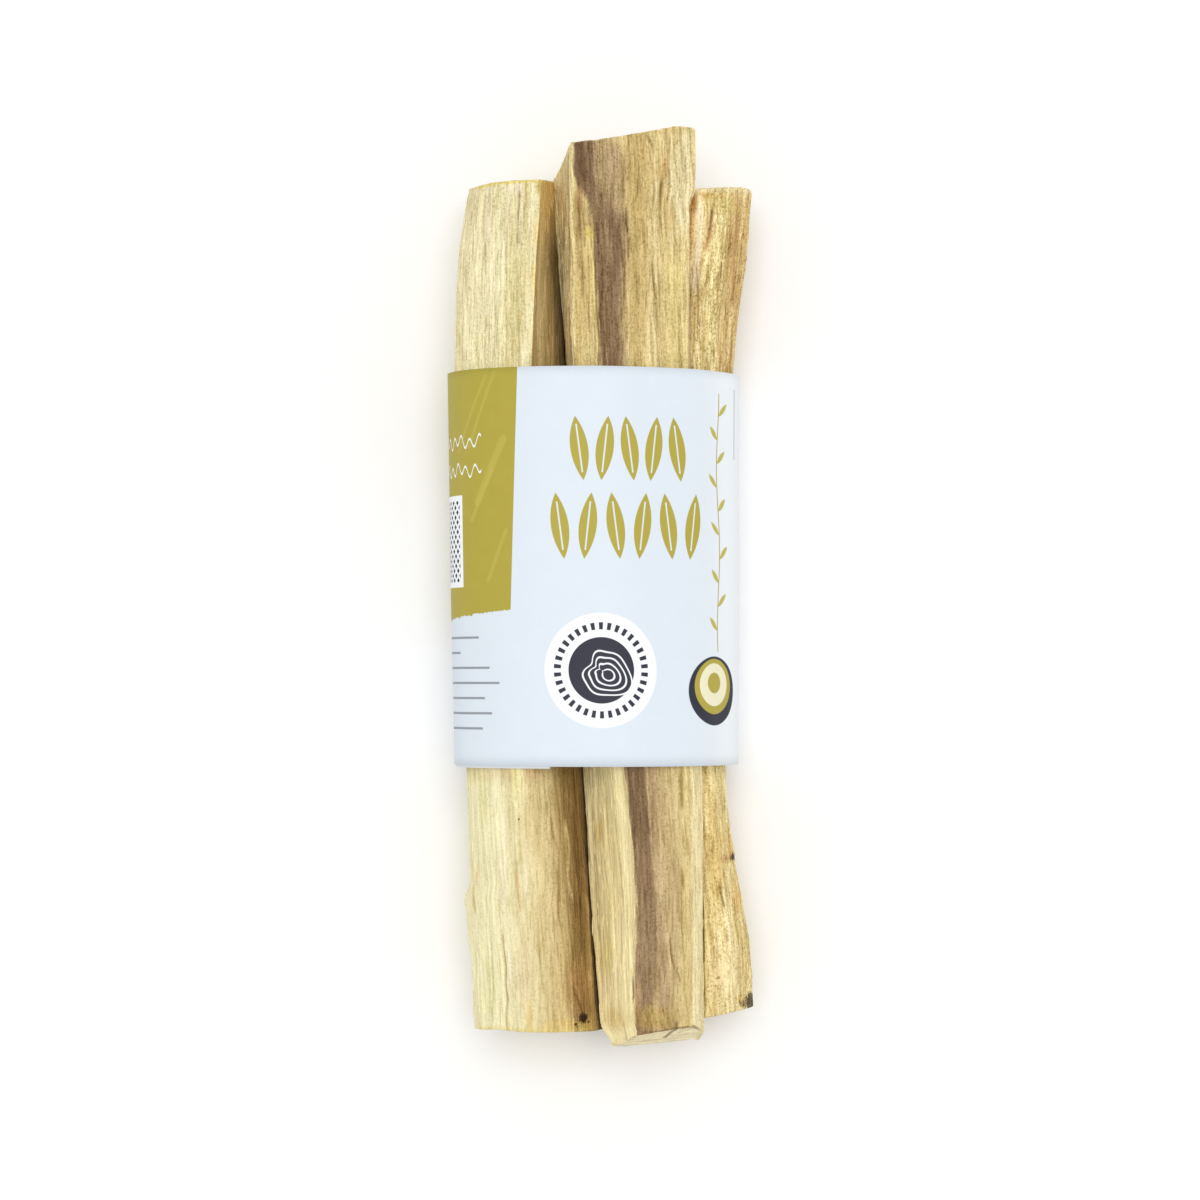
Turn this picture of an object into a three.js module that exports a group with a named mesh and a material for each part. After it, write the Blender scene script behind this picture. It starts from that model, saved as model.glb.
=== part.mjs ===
// Three split sticks of palo santo wood, held together by one band of stiff printed paper.
// Units are millimetres. Y runs along the grain, +Z is the side that shows the label, and the
// bundle lies on its back, so that the flat underside of the band rests on z = 0.

import * as THREE from 'three';

// Paper band
const BAND_TOP = 24.65;
const BAND_BOTTOM = -20.0;
const PAPER_WALL = 0.25;
const LAP_EXTRA = 0.15;
const BAND_ROWS = 4;
const BAND_STEPS = 72;

// Wood. A face is split into strips along the grain, whose ledges fade towards the long edges.
const STRIP_WIDTH = 1.5;
const RING_SPACING = 3.9;
const LEAST_LEDGE_SHARE = 0.25;
const CORNER_SHARE = 0.2;
const SHORTEST_LEDGE = 24;
const LONGEST_LEDGE = 64;
const LEDGE_SLOPE = 0.6;
const END_CHAMFER = 0.3;

const TURN = 2 * Math.PI;

// One long edge of a split stick. Its x and z are given where the stick's stations are,
// and a single z holds all along.
function edge(stations, x, z) {
  const samples = x.flatMap((value, index) => [value, Array.isArray(z) ? z[index] : z]);
  const curve = new THREE.CubicInterpolant(stations, samples, 2, new Float32Array(2));
  return (y) => {
    const [edgeX, edgeZ] = curve.evaluate(y);
    return new THREE.Vector2(edgeX, edgeZ);
  };
}

// Left stick: broad rounded front, a sharp edge towards the groove and a steep side face.
const LEFT_STATIONS = [-50, -20, 3, 25, 38, 46];
const LEFT_EDGES = [
  edge(LEFT_STATIONS, [-14.45, -15.3, -16.1, -16.8, -16.25, -15.1], [10.6, 11.0, 11.2, 11.4, 11.4, 11.2]),
  edge(LEFT_STATIONS, [-12.8, -13.8, -14.6, -15.1, -14.8, -13.7], [13.3, 13.8, 14.0, 14.0, 14.2, 14.8]),
  edge(LEFT_STATIONS, [-10.2, -11.5, -12.2, -12.7, -12.5, -11.3], [15.7, 16.0, 16.0, 16.1, 16.5, 17.2]),
  edge(LEFT_STATIONS, [-5.6, -8.6, -8.3, -7.8, -7.1, -6.5], [17.1, 17.9, 18.0, 18.2, 18.3, 18.2]),
  edge(LEFT_STATIONS, [-1.8, -4.5, -5.3, -5.6, -5.7, -6.0], [14.4, 14.8, 14.4, 14.2, 14.3, 14.4]),
  edge(LEFT_STATIONS, [-0.2, -2.1, -3.1, -4.0, -4.8, -5.5], [9.0, 9.2, 9.4, 9.6, 9.8, 10.0]),
  edge(LEFT_STATIONS, [0.4, -0.6, -1.0, -1.5, -2.0, -2.6], [6.0, 6.0, 6.0, 6.0, 5.9, 5.8]),
  edge(LEFT_STATIONS, [-1.6, -2.2, -2.4, -2.6, -3.0, -3.4], [1.5, 0.9, 0.9, 0.9, 1.2, 1.6]),
  edge(LEFT_STATIONS, [-10.4, -11.0, -11.5, -11.8, -11.4, -10.8], [1.5, 0.9, 0.9, 0.9, 1.2, 1.6]),
  edge(LEFT_STATIONS, [-13.4, -14.2, -14.8, -15.2, -14.7, -13.7], [4.8, 4.8, 4.8, 5.0, 5.1, 5.2]),
];

// Middle stick: lies on the other two, with a narrow facet left of its highest edge and a bevel down
// its right side.
const MIDDLE_STATIONS = [-50, -34, -20, 3, 25, 50];
const MIDDLE_EDGES = [
  edge(MIDDLE_STATIONS, [4.1, 4.0, 2.9, 1.4, 0.1, -3.1], [18.8, 19.1, 19.2, 19.3, 19.3, 18.9]),
  edge(MIDDLE_STATIONS, [7.4, 7.4, 7.1, 6.2, 5.4, 4.2], [17.6, 17.7, 17.5, 17.6, 17.6, 17.3]),
  edge(MIDDLE_STATIONS, [10.3, 10.6, 10.8, 10.5, 9.85, 10.2], [15.5, 15.4, 15.4, 15.4, 15.4, 15.2]),
  edge(MIDDLE_STATIONS, [11.7, 11.6, 11.4, 10.9, 10.15, 10.15], [13.2, 13.6, 13.7, 13.6, 13.4, 13.4]),
  edge(MIDDLE_STATIONS, [11.2, 10.2, 9.1, 8.1, 7.4, 7.8], 7.4),
  edge(MIDDLE_STATIONS, [2.7, 0.9, 0.4, 0.0, -0.4, -1.6], [8.4, 7.6, 7.5, 7.6, 7.7, 7.7]),
  edge(MIDDLE_STATIONS, [0.5, -0.8, -1.7, -2.7, -3.6, -5.2], [12.5, 11.2, 11.0, 11.0, 11.1, 11.3]),
  edge(MIDDLE_STATIONS, [3.15, 2.8, 1.3, -1.2, -2.7, -3.4], [16.8, 16.9, 16.9, 17.7, 18.3, 18.3]),
];

// Right stick: lowest of the three, half under the middle one.
const RIGHT_STATIONS = [-50, -41, -29, -20, 25, 46];
const RIGHT_EDGES = [
  edge(RIGHT_STATIONS, [12.0, 12.0, 11.7, 11.3, 10.1, 10.4], [11.8, 11.8, 11.9, 12.0, 12.1, 12.3]),
  edge(RIGHT_STATIONS, [14.8, 14.6, 13.6, 13.2, 13.0, 14.6], [12.1, 12.1, 12.0, 12.0, 12.0, 12.7]),
  edge(RIGHT_STATIONS, [17.6, 17.1, 14.9, 14.3, 15.35, 17.6], [9.0, 9.0, 8.8, 8.6, 8.6, 9.4]),
  edge(RIGHT_STATIONS, [16.8, 16.5, 14.7, 14.1, 14.8, 16.2], [4.6, 4.5, 4.4, 4.4, 4.6, 5.0]),
  edge(RIGHT_STATIONS, [14.4, 14.2, 13.0, 12.4, 12.5, 13.6], [1.6, 1.4, 1.2, 1.1, 1.2, 1.6]),
  edge(RIGHT_STATIONS, [2.4, 2.0, 1.5, 1.1, 0.7, 1.4], [1.5, 1.3, 1.0, 0.9, 0.9, 1.6]),
  edge(RIGHT_STATIONS, [1.7, 1.3, 0.9, 0.5, -0.3, 0.2], 3.7),
  edge(RIGHT_STATIONS, [3.4, 3.1, 2.7, 2.4, 1.4, 1.6], 6.8),
  edge(RIGHT_STATIONS, [11.6, 11.3, 10.4, 9.6, 7.9, 8.3], 6.7),
];

// A cut end is a plane. Its y is given at one point and leans by so much for each millimetre of x and z.
function sawCut(y, x, z, leanX, leanZ) {
  return { y, at: (point) => y + leanX * (point.x - x) + leanZ * (point.y - z) };
}

const STICKS = [
  {
    name: 'stick_left',
    colour: '#ddcc98',
    seed: 11,
    ledges: 0.25,
    edges: LEFT_EDGES,
    bottom: sawCut(-49.75, -4.5, 18, 0.02, 0.05),
    top: sawCut(45.6, -6.5, 18.2, 0.08, -0.13),
    // A sliver stands off the left side near the lower end
    steps: [{ edge: 0, shift: -0.65, from: -33.4, full: -34.9, fade: -43 }],
  },
  {
    name: 'stick_middle',
    colour: '#c9b07e',
    seed: 23,
    ledges: 0.4,
    edges: MIDDLE_EDGES,
    bottom: sawCut(-49.8, 4.1, 18.8, 0.22, 0.24),
    top: sawCut(50.1, -3.1, 18.9, 0.25, 0.35),
    // The right side is wider above a ledge near the upper end, and the lower left corner is worn off
    steps: [
      { edge: 2, shift: 0.7, from: 41.6, full: 43.0, fade: 70 },
      { edge: 6, shift: 1.1, from: -47.4, full: -49.8, fade: -90 },
    ],
  },
  {
    name: 'stick_right',
    colour: '#d2b983',
    seed: 37,
    ledges: 0.45,
    edges: RIGHT_EDGES,
    bottom: sawCut(-48.6, 12, 12, 0.2, 0.05),
    top: sawCut(45.7, 12, 12.5, 0.05, -0.1),
    // The right edge swells a little below the upper end
    steps: [{ edge: 2, shift: 0.25, from: 29, full: 36, fade: 46 }],
  },
];

// Outline of the band at its upper and lower edge, from the left end of the flat underside,
// over the front, to the right end of the underside.
const BAND_OUTLINE_TOP = [
  [-10.6, 0], [-14.4, 1.4], [-17.0, 5.6], [-17.6, 10.6], [-16.1, 14.3], [-13.3, 16.9], [-8.6, 19.1],
  [-4.0, 19.9], [0.8, 19.9], [5.2, 18.6], [10.7, 16.1], [13.3, 13.3], [15.2, 10.8], [16.0, 7.9],
  [15.6, 4.2], [13.6, 1.2], [10.6, 0],
];
const BAND_OUTLINE_BOTTOM = [
  [-9.8, 0], [-13.7, 1.4], [-16.2, 5.6], [-16.8, 10.4], [-15.5, 14.1], [-12.9, 16.7], [-8.8, 18.8],
  [-3.2, 19.7], [2.8, 19.9], [6.9, 18.5], [11.4, 16.0], [13.7, 13.1], [15.2, 10.7], [15.9, 7.9],
  [15.5, 4.2], [13.6, 1.2], [10.6, 0],
];

// The paper is double between these two fractions of the outline, where its ends are glued
const LAP_FROM = 0.03;
const LAP_TO = 0.33;

// A repeatable pseudo-random number from 0 to 1 for each pair of whole numbers
function scatter(seed, index) {
  const wave = Math.sin(seed * 127.1 + index * 311.7) * 43758.5453;
  return wave - Math.floor(wave);
}

// How far a line along the grain lies below its flat face. Split wood has long ledges that
// come and go, so the depth holds level for a while and then steps.
function ledgeDepth(stick, line, y) {
  const share = THREE.MathUtils.lerp(LEAST_LEDGE_SHARE, 1, scatter(stick.seed, line));
  const wavelength = THREE.MathUtils.lerp(SHORTEST_LEDGE, LONGEST_LEDGE, scatter(stick.seed + 1, line));
  const phase = TURN * scatter(stick.seed + 2, line);
  const wave = Math.sin(TURN * y / wavelength + phase);
  return stick.ledges * share * THREE.MathUtils.smoothstep(wave, -LEDGE_SLOPE, LEDGE_SLOPE);
}

// How far a step, such as a lifted sliver, moves a long edge sideways at y
function stepOut(step, y) {
  const rise = THREE.MathUtils.smoothstep((y - step.from) / (step.full - step.from), 0, 1);
  const fall = THREE.MathUtils.smoothstep((y - step.full) / (step.fade - step.full), 0, 1);
  return step.shift * rise * (1 - fall);
}

// The corners of a stick's section at y
function cornersAt(stick, y) {
  const corners = stick.edges.map((cornerAt) => cornerAt(y));
  for (const step of stick.steps) {
    corners[step.edge].x += stepOut(step, y);
  }
  return corners;
}

// How many strips each face of a stick is split into
function stripCounts(stick) {
  const corners = cornersAt(stick, 0);
  return corners.map((corner, index) => {
    const next = corners[(index + 1) % corners.length];
    return Math.max(1, Math.round(corner.distanceTo(next) / STRIP_WIDTH));
  });
}

// The section of a stick at y, clockwise as seen from the lower end
function sectionAt(stick, counts, y) {
  const corners = cornersAt(stick, y);
  const points = [];
  corners.forEach((corner, index) => {
    const next = corners[(index + 1) % corners.length];
    const across = next.clone().sub(corner).normalize();
    const inward = new THREE.Vector2(across.y, -across.x);
    for (let strip = 0; strip < counts[index]; strip++) {
      const line = points.length;
      const depth = ledgeDepth(stick, line, y) * (strip === 0 ? CORNER_SHARE : 1);
      const point = corner.clone().lerp(next, strip / counts[index]);
      points.push(point.addScaledVector(inward, depth));
    }
  });
  return points;
}

// A section drawn in by so much all round, along the bisectors of its corners
function drawnIn(section, inset) {
  return section.map((point, index) => {
    const before = section[(index + section.length - 1) % section.length];
    const after = section[(index + 1) % section.length];
    const across = after.clone().sub(before).normalize();
    return new THREE.Vector2(point.x + inset * across.y, point.y - inset * across.x);
  });
}

// Places along a stick where a section is drawn, from its lower end to its upper end
function ringPlaces(stick) {
  const length = stick.top.y - stick.bottom.y;
  const count = Math.round(length / RING_SPACING);
  const places = [END_CHAMFER, length - END_CHAMFER];
  for (let index = 1; index < count; index++) {
    places.push(index * length / count);
  }
  for (const step of stick.steps) {
    places.push(step.from - stick.bottom.y, step.full - stick.bottom.y);
  }
  const inside = places.filter((place) => place >= END_CHAMFER && place <= length - END_CHAMFER);
  return [0, ...inside.sort((a, b) => a - b), length].map((place) => place / length);
}

// One closed stick, lofted through its sections from saw cut to saw cut
function stickGeometry(stick) {
  const counts = stripCounts(stick);
  const places = ringPlaces(stick);
  const positions = [];
  const indices = [];
  const ringSize = counts.reduce((sum, count) => sum + count, 0);
  const sections = places.map((place) => {
    const y = THREE.MathUtils.lerp(stick.bottom.y, stick.top.y, place);
    const section = sectionAt(stick, counts, y);
    const atEnd = place === 0 || place === 1;
    return atEnd ? drawnIn(section, END_CHAMFER) : section;
  });
  sections.forEach((section, ring) => {
    for (const point of section) {
      positions.push(point.x, yOnStick(stick, point, places[ring]), point.y);
    }
  });
  for (let ring = 0; ring < places.length - 1; ring++) {
    for (let index = 0; index < ringSize; index++) {
      const here = ring * ringSize + index;
      const next = ring * ringSize + (index + 1) % ringSize;
      indices.push(here, next, next + ringSize);
      indices.push(here, next + ringSize, here + ringSize);
    }
  }
  closeEnd(indices, sections[0], 0, false);
  closeEnd(indices, sections.at(-1), (places.length - 1) * ringSize, true);
  return meshGeometry(positions, indices);
}

// Between the two saw cuts, y shifts gradually from one plane to the other
function yOnStick(stick, point, place) {
  return THREE.MathUtils.lerp(stick.bottom.at(point), stick.top.at(point), place);
}

// A saw cut is flat. Its outline may be hollow in places, so it is cut into triangles ear by ear.
function closeEnd(indices, section, first, upper) {
  for (const [a, b, c] of THREE.ShapeUtils.triangulateShape(section, [])) {
    if (upper) {
      indices.push(first + a, first + c, first + b);
    } else {
      indices.push(first + a, first + b, first + c);
    }
  }
}

function meshGeometry(positions, indices) {
  const geometry = new THREE.BufferGeometry();
  geometry.setAttribute('position', new THREE.Float32BufferAttribute(positions, 3));
  geometry.setIndex(indices);
  geometry.computeVertexNormals();
  return geometry;
}

// Outline of the band at a given height, as evenly spaced points round the closed loop.
// The underside stays flat on z = 0.
function bandOutline(rise) {
  const knots = BAND_OUTLINE_BOTTOM.map(([x, z], index) => {
    const [topX, topZ] = BAND_OUTLINE_TOP[index];
    const knotX = THREE.MathUtils.lerp(x, topX, rise);
    const knotZ = THREE.MathUtils.lerp(z, topZ, rise);
    return new THREE.Vector3(knotX, 0, knotZ);
  });
  const over = new THREE.CatmullRomCurve3(knots, false, 'centripetal');
  const under = new THREE.LineCurve3(knots.at(-1), knots[0]);
  const overSteps = Math.round(BAND_STEPS * over.getLength() / (over.getLength() + under.getLength()));
  const points = over.getSpacedPoints(overSteps);
  for (let index = 1; index < BAND_STEPS - overSteps; index++) {
    points.push(under.getPoint(index / (BAND_STEPS - overSteps)));
  }
  return points.map((point) => new THREE.Vector2(point.x, Math.max(0, point.z)));
}

// The inner side of the paper, one wall inside the outer side and thicker at the lap
function insideOf(outline) {
  const count = outline.length;
  return outline.map((point, index) => {
    const before = outline[(index + count - 1) % count];
    const after = outline[(index + 1) % count];
    const across = after.clone().sub(before).normalize();
    const inward = new THREE.Vector2(across.y, -across.x);
    const inLap = index / count > LAP_FROM && index / count < LAP_TO;
    return point.clone().addScaledVector(inward, PAPER_WALL + (inLap ? LAP_EXTRA : 0));
  });
}

// The band: an outer and an inner wall joined at the two cut edges of the paper
function bandGeometry() {
  const positions = [];
  const indices = [];
  for (let row = 0; row <= BAND_ROWS; row++) {
    const rise = row / BAND_ROWS;
    const y = THREE.MathUtils.lerp(BAND_BOTTOM, BAND_TOP, rise);
    const outer = bandOutline(rise);
    for (const point of [...outer, ...insideOf(outer)]) {
      positions.push(point.x, y, point.y);
    }
  }
  const rowSize = positions.length / 3 / (BAND_ROWS + 1);
  const half = rowSize / 2;
  const quad = (a, b, c, d) => indices.push(a, b, c, a, c, d);
  for (let index = 0; index < half; index++) {
    const next = (index + 1) % half;
    for (let row = 0; row < BAND_ROWS; row++) {
      const low = row * rowSize;
      const high = low + rowSize;
      quad(low + index, low + next, high + next, high + index);
      quad(low + half + next, low + half + index, high + half + index, high + half + next);
    }
    const top = BAND_ROWS * rowSize;
    quad(next, index, half + index, half + next);
    quad(top + index, top + next, top + half + next, top + half + index);
  }
  return meshGeometry(positions, indices);
}

function paint(colour, roughness) {
  return new THREE.MeshStandardMaterial({ color: colour, roughness, metalness: 0 });
}

function named(name, geometry, material) {
  const mesh = new THREE.Mesh(geometry, material);
  mesh.name = name;
  return mesh;
}

const bundle = new THREE.Group();
bundle.name = 'palo_santo_bundle';
for (const stick of STICKS) {
  bundle.add(named(stick.name, stickGeometry(stick), paint(stick.colour, 0.75)));
}
bundle.add(named('paper_band', bandGeometry(), paint('#e8f0f6', 0.6)));

// The origin is the middle of the bundle's footprint, on the surface that it lies on
const box = new THREE.Box3().setFromObject(bundle);
const middle = box.getCenter(new THREE.Vector3());
bundle.position.set(-middle.x, -middle.y, -box.min.z);

export default bundle;
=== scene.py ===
# Three split sticks of palo santo in a printed paper band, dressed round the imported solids.
import math

import bmesh
import bpy
import numpy as np
from mathutils.geometry import delaunay_2d_cdt
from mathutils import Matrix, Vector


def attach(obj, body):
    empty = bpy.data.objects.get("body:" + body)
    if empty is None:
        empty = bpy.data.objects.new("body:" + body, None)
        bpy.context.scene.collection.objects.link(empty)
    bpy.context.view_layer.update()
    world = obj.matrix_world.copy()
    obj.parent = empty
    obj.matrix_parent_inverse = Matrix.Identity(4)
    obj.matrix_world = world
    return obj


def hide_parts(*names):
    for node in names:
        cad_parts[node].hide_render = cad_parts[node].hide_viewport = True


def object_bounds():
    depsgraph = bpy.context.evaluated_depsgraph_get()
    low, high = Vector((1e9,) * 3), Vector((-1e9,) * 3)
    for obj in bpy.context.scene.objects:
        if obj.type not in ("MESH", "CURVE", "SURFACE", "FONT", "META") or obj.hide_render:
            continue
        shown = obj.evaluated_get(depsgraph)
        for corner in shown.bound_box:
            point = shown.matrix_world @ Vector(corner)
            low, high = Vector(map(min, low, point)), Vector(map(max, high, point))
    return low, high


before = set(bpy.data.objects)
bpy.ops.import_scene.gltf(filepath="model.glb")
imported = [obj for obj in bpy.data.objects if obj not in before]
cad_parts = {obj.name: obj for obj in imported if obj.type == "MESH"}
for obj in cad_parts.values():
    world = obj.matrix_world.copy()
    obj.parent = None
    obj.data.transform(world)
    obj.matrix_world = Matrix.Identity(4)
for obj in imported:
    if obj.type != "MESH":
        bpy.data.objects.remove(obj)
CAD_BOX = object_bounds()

# Lengths are millimetres until a mesh is made
MM = 0.001

# Sticks
POINTS_ROUND = 520
RINGS = 150
END_RING_DEPTHS = (0.0, 0.03, 0.08, 0.15, 0.22, 0.3, 0.45, 0.7, 1.05)
CUT_POINT_SPACING = 0.42
SHARP_BLUR = 0.16
LENGTHWISE_BLUR = 1.6
BOX_MARGIN = 0.02
FIBRE_LENGTH = 1.5
FIBRE_WIDTH = 0.10
FIRST_LEVEL = 0.0045
SAW_CUT_FACING = 0.88
SHARP_BEND = (18, 42)
LEAN_WIDTH = 3.5
LEAN_HEIGHTS = (7.5, 10.5)
UNDER_BOW_HEIGHTS = (11.5, 15)
SURFACE_DROP = 0.04
RELIEF_LIMIT = 0.12
END_COARSE = 0.3

# Middle of the growth rings on the saw cuts, as x and z
PITH = (2.0, -16.0)

# Camera, from the photograph: its height, lens, and how far it leans from straight down
CAMERA_PLACE = (-0.02, -10.73, 370)
CAMERA_LENS = 94.5
CAMERA_TILT = math.atan(85 / 3150)

# Paper band
PAPER_THICKNESS = 0.16
LAP_GAP = 0.05
PAPER_STEPS = 560
PAPER_ROWS = 30
LAP_SLIP = 0.22
LAP_SHARE = 0.3
BACK_HALF_WIDTH = 10.2
FRONT_HEIGHT = 10.6


BOX_LOW = np.array(CAD_BOX[0]) / MM + BOX_MARGIN
BOX_HIGH = np.array(CAD_BOX[1]) / MM - BOX_MARGIN


# Noise and small helpers

def ease(low, high, value):
    """0 below low, 1 above high, and a soft rise between them."""
    share = np.clip((value - low) / (high - low), 0, 1)
    return share * share * (3 - 2 * share)


def fall(low, high, value):
    """1 below low, 0 above high, and a soft fall between them."""
    return 1 - ease(low, high, value)


def lattice_number(cells, seed):
    """A repeatable number from 0 to 1 for each whole-number cell."""
    cells = cells.astype(np.int64).astype(np.uint32)
    mixed = cells[..., 0] * np.uint32(374761393) + cells[..., 1] * np.uint32(668265263)
    mixed = mixed + cells[..., 2] * np.uint32(3266489917) + np.uint32(seed * 2246822519 % 4294967296)
    mixed = (mixed ^ (mixed >> np.uint32(13))) * np.uint32(1274126177)
    mixed = (mixed ^ (mixed >> np.uint32(16))) * np.uint32(2654435761)
    return (mixed ^ (mixed >> np.uint32(15))) / 4294967296.0


def soft_noise(places, size, seed):
    """Smooth noise from -1 to 1 with lumps of that size along X, Y and Z."""
    scaled = places / np.array(size)
    cells = np.floor(scaled)
    part = scaled - cells
    fade = part * part * (3 - 2 * part)
    total = np.zeros(places.shape[:-1])
    for corner in np.ndindex(2, 2, 2):
        weight = np.prod(np.where(corner, fade, 1 - fade), axis=-1)
        total += weight * lattice_number(cells + corner, seed)
    return 2 * total - 1


def split_ledges(places, size, seed):
    """Heights from 0 to 1 of long splinters, each level along its length and stepped at its border."""
    scaled = places / np.array(size)
    cells = np.floor(scaled)
    nearest = np.full(places.shape[:-1], np.inf)
    height = np.zeros(places.shape[:-1])
    for step in np.ndindex(3, 3, 3):
        cell = cells + step - 1
        middle = np.stack([lattice_number(cell, seed + axis) for axis in range(3)], axis=-1)
        distance = np.sum((cell + middle - scaled) ** 2, axis=-1)
        closer = distance < nearest
        nearest = np.where(closer, distance, nearest)
        height = np.where(closer, lattice_number(cell, seed + 3), height)
    return height


def blur_round(values, spread):
    """Blurs along the closed direction, axis 1. spread is in points."""
    waves = np.fft.rfftfreq(values.shape[1])
    keep = np.exp(-2 * (math.pi * spread * waves) ** 2)
    keep = keep.reshape((1, -1) + (1,) * (values.ndim - 2))
    return np.fft.irfft(np.fft.rfft(values, axis=1) * keep, n=values.shape[1], axis=1)


def blur_along(values, spread):
    """Blurs along the open direction, axis 0. spread is in rings."""
    reach = max(1, int(3 * spread))
    steps = np.arange(-reach, reach + 1)
    weights = np.exp(-0.5 * (steps / spread) ** 2)
    weights /= weights.sum()
    padded = np.concatenate([values[:1]] * reach + [values] + [values[-1:]] * reach)
    return sum(weight * padded[index:index + len(values)] for index, weight in enumerate(weights))


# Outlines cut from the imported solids

def merged_solid(node):
    """A node's vertices and triangles, once its loose triangles are joined in a copy."""
    shape = bmesh.new()
    shape.from_mesh(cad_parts[node].data)
    bmesh.ops.remove_doubles(shape, verts=shape.verts, dist=1e-6)
    shape.verts.index_update()
    places = np.array([vert.co[:] for vert in shape.verts]) / MM
    triangles = np.array([[vert.index for vert in face.verts] for face in shape.faces])
    shape.free()
    return places, triangles


def cut_outlines(places, triangles, along, level):
    """The closed outlines of a solid where along, one number for each vertex, has that level."""
    above = (along > level)[triangles]
    count = above.sum(axis=1)
    mixed = (count == 1) | (count == 2)
    corners = triangles[mixed]
    rows = np.arange(len(corners))
    alone_above = count[mixed] == 1
    alone = np.argmax(above[mixed] == alone_above[:, None], axis=1)
    apex = corners[rows, alone]
    after = corners[rows, (alone + 1) % 3]
    before = corners[rows, (alone + 2) % 3]
    leaving = np.where(alone_above, after, before)
    arriving = np.where(alone_above, before, after)
    share = (level - along[apex]) / (along[leaving] - along[apex])
    points = places[apex] + share[:, None] * (places[leaving] - places[apex])
    start_edge = np.minimum(apex, leaving) * len(places) + np.maximum(apex, leaving)
    end_edge = np.minimum(apex, arriving) * len(places) + np.maximum(apex, arriving)
    by_start = {edge: row for row, edge in enumerate(start_edge)}
    outlines = []
    left = set(rows)
    while left:
        row = min(left)
        outline = []
        while row in left:
            left.remove(row)
            outline.append(points[row][[0, 2]])
            row = by_start[end_edge[row]]
        outlines.append(np.array(outline))
    return outlines


def enclosed_area(outline):
    """Signed area, positive where the outline runs anticlockwise with x to the right and z up."""
    x, z = outline.T
    return 0.5 * np.sum(x * np.roll(z, -1) - np.roll(x, -1) * z)


def even_outline(outline, count):
    """Even points round an outline, anticlockwise from its lowest place under its middle."""
    if enclosed_area(outline) < 0:
        outline = outline[::-1]
    middle = (outline[:, 0].min() + outline[:, 0].max()) / 2
    after = np.roll(outline, -1, axis=0)
    crossing = (outline[:, 0] - middle) * (after[:, 0] - middle) <= 0
    span = after[:, 0] - outline[:, 0]
    share = (middle - outline[:, 0]) / np.where(span == 0, 1, span)
    height = outline[:, 1] + share * (after[:, 1] - outline[:, 1])
    first = int(np.argmin(np.where(crossing, height, np.inf)))
    start = np.array([[middle, height[first]]])
    loop = np.concatenate([start, np.roll(outline, -first - 1, axis=0), start])
    travelled = np.concatenate([[0], np.cumsum(np.linalg.norm(np.diff(loop, axis=0), axis=1))])
    wanted = np.linspace(0, travelled[-1], count, endpoint=False)
    return np.stack([np.interp(wanted, travelled, loop[:, axis]) for axis in range(2)], axis=-1)


def saw_plane(places, triangles, side):
    """The plane of one saw cut as three numbers: y is the first, plus the others times x and z."""
    a, b, c = (places[triangles[:, corner]] for corner in range(3))
    normal = np.cross(b - a, c - a)
    size = np.linalg.norm(normal, axis=1)
    flat = normal[:, 1] * side > SAW_CUT_FACING * size
    corners = places[np.unique(triangles[flat & (size > 1e-4)])]
    table = np.column_stack([np.ones(len(corners)), corners[:, 0], corners[:, 2]])
    return np.linalg.lstsq(table, corners[:, 1], rcond=None)[0]


def plane_y(plane, section):
    return plane[0] + plane[1] * section[..., 0] + plane[2] * section[..., 1]


def outward(sections):
    """Unit normals of anticlockwise sections, in x and z."""
    run = np.roll(sections, -1, axis=1) - np.roll(sections, 1, axis=1)
    run /= np.linalg.norm(run, axis=-1, keepdims=True)
    return np.stack([run[..., 1], -run[..., 0]], axis=-1)


def turning(sections, reach):
    """How sharply each section turns at each point, in degrees over that many points each way."""
    ahead = np.roll(sections, -reach, axis=1) - sections
    behind = sections - np.roll(sections, reach, axis=1)
    cross = behind[..., 0] * ahead[..., 1] - behind[..., 1] * ahead[..., 0]
    dot = np.sum(ahead * behind, axis=-1)
    return np.degrees(np.abs(np.arctan2(cross, dot)))


def stretched_back(smooth, rough):
    """Gives each smoothed section its width and height back."""
    low = rough.min(axis=1, keepdims=True)
    high = rough.max(axis=1, keepdims=True)
    small = smooth.min(axis=1, keepdims=True)
    big = smooth.max(axis=1, keepdims=True)
    return low + (smooth - small) * (high - low) / (big - small)


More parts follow.
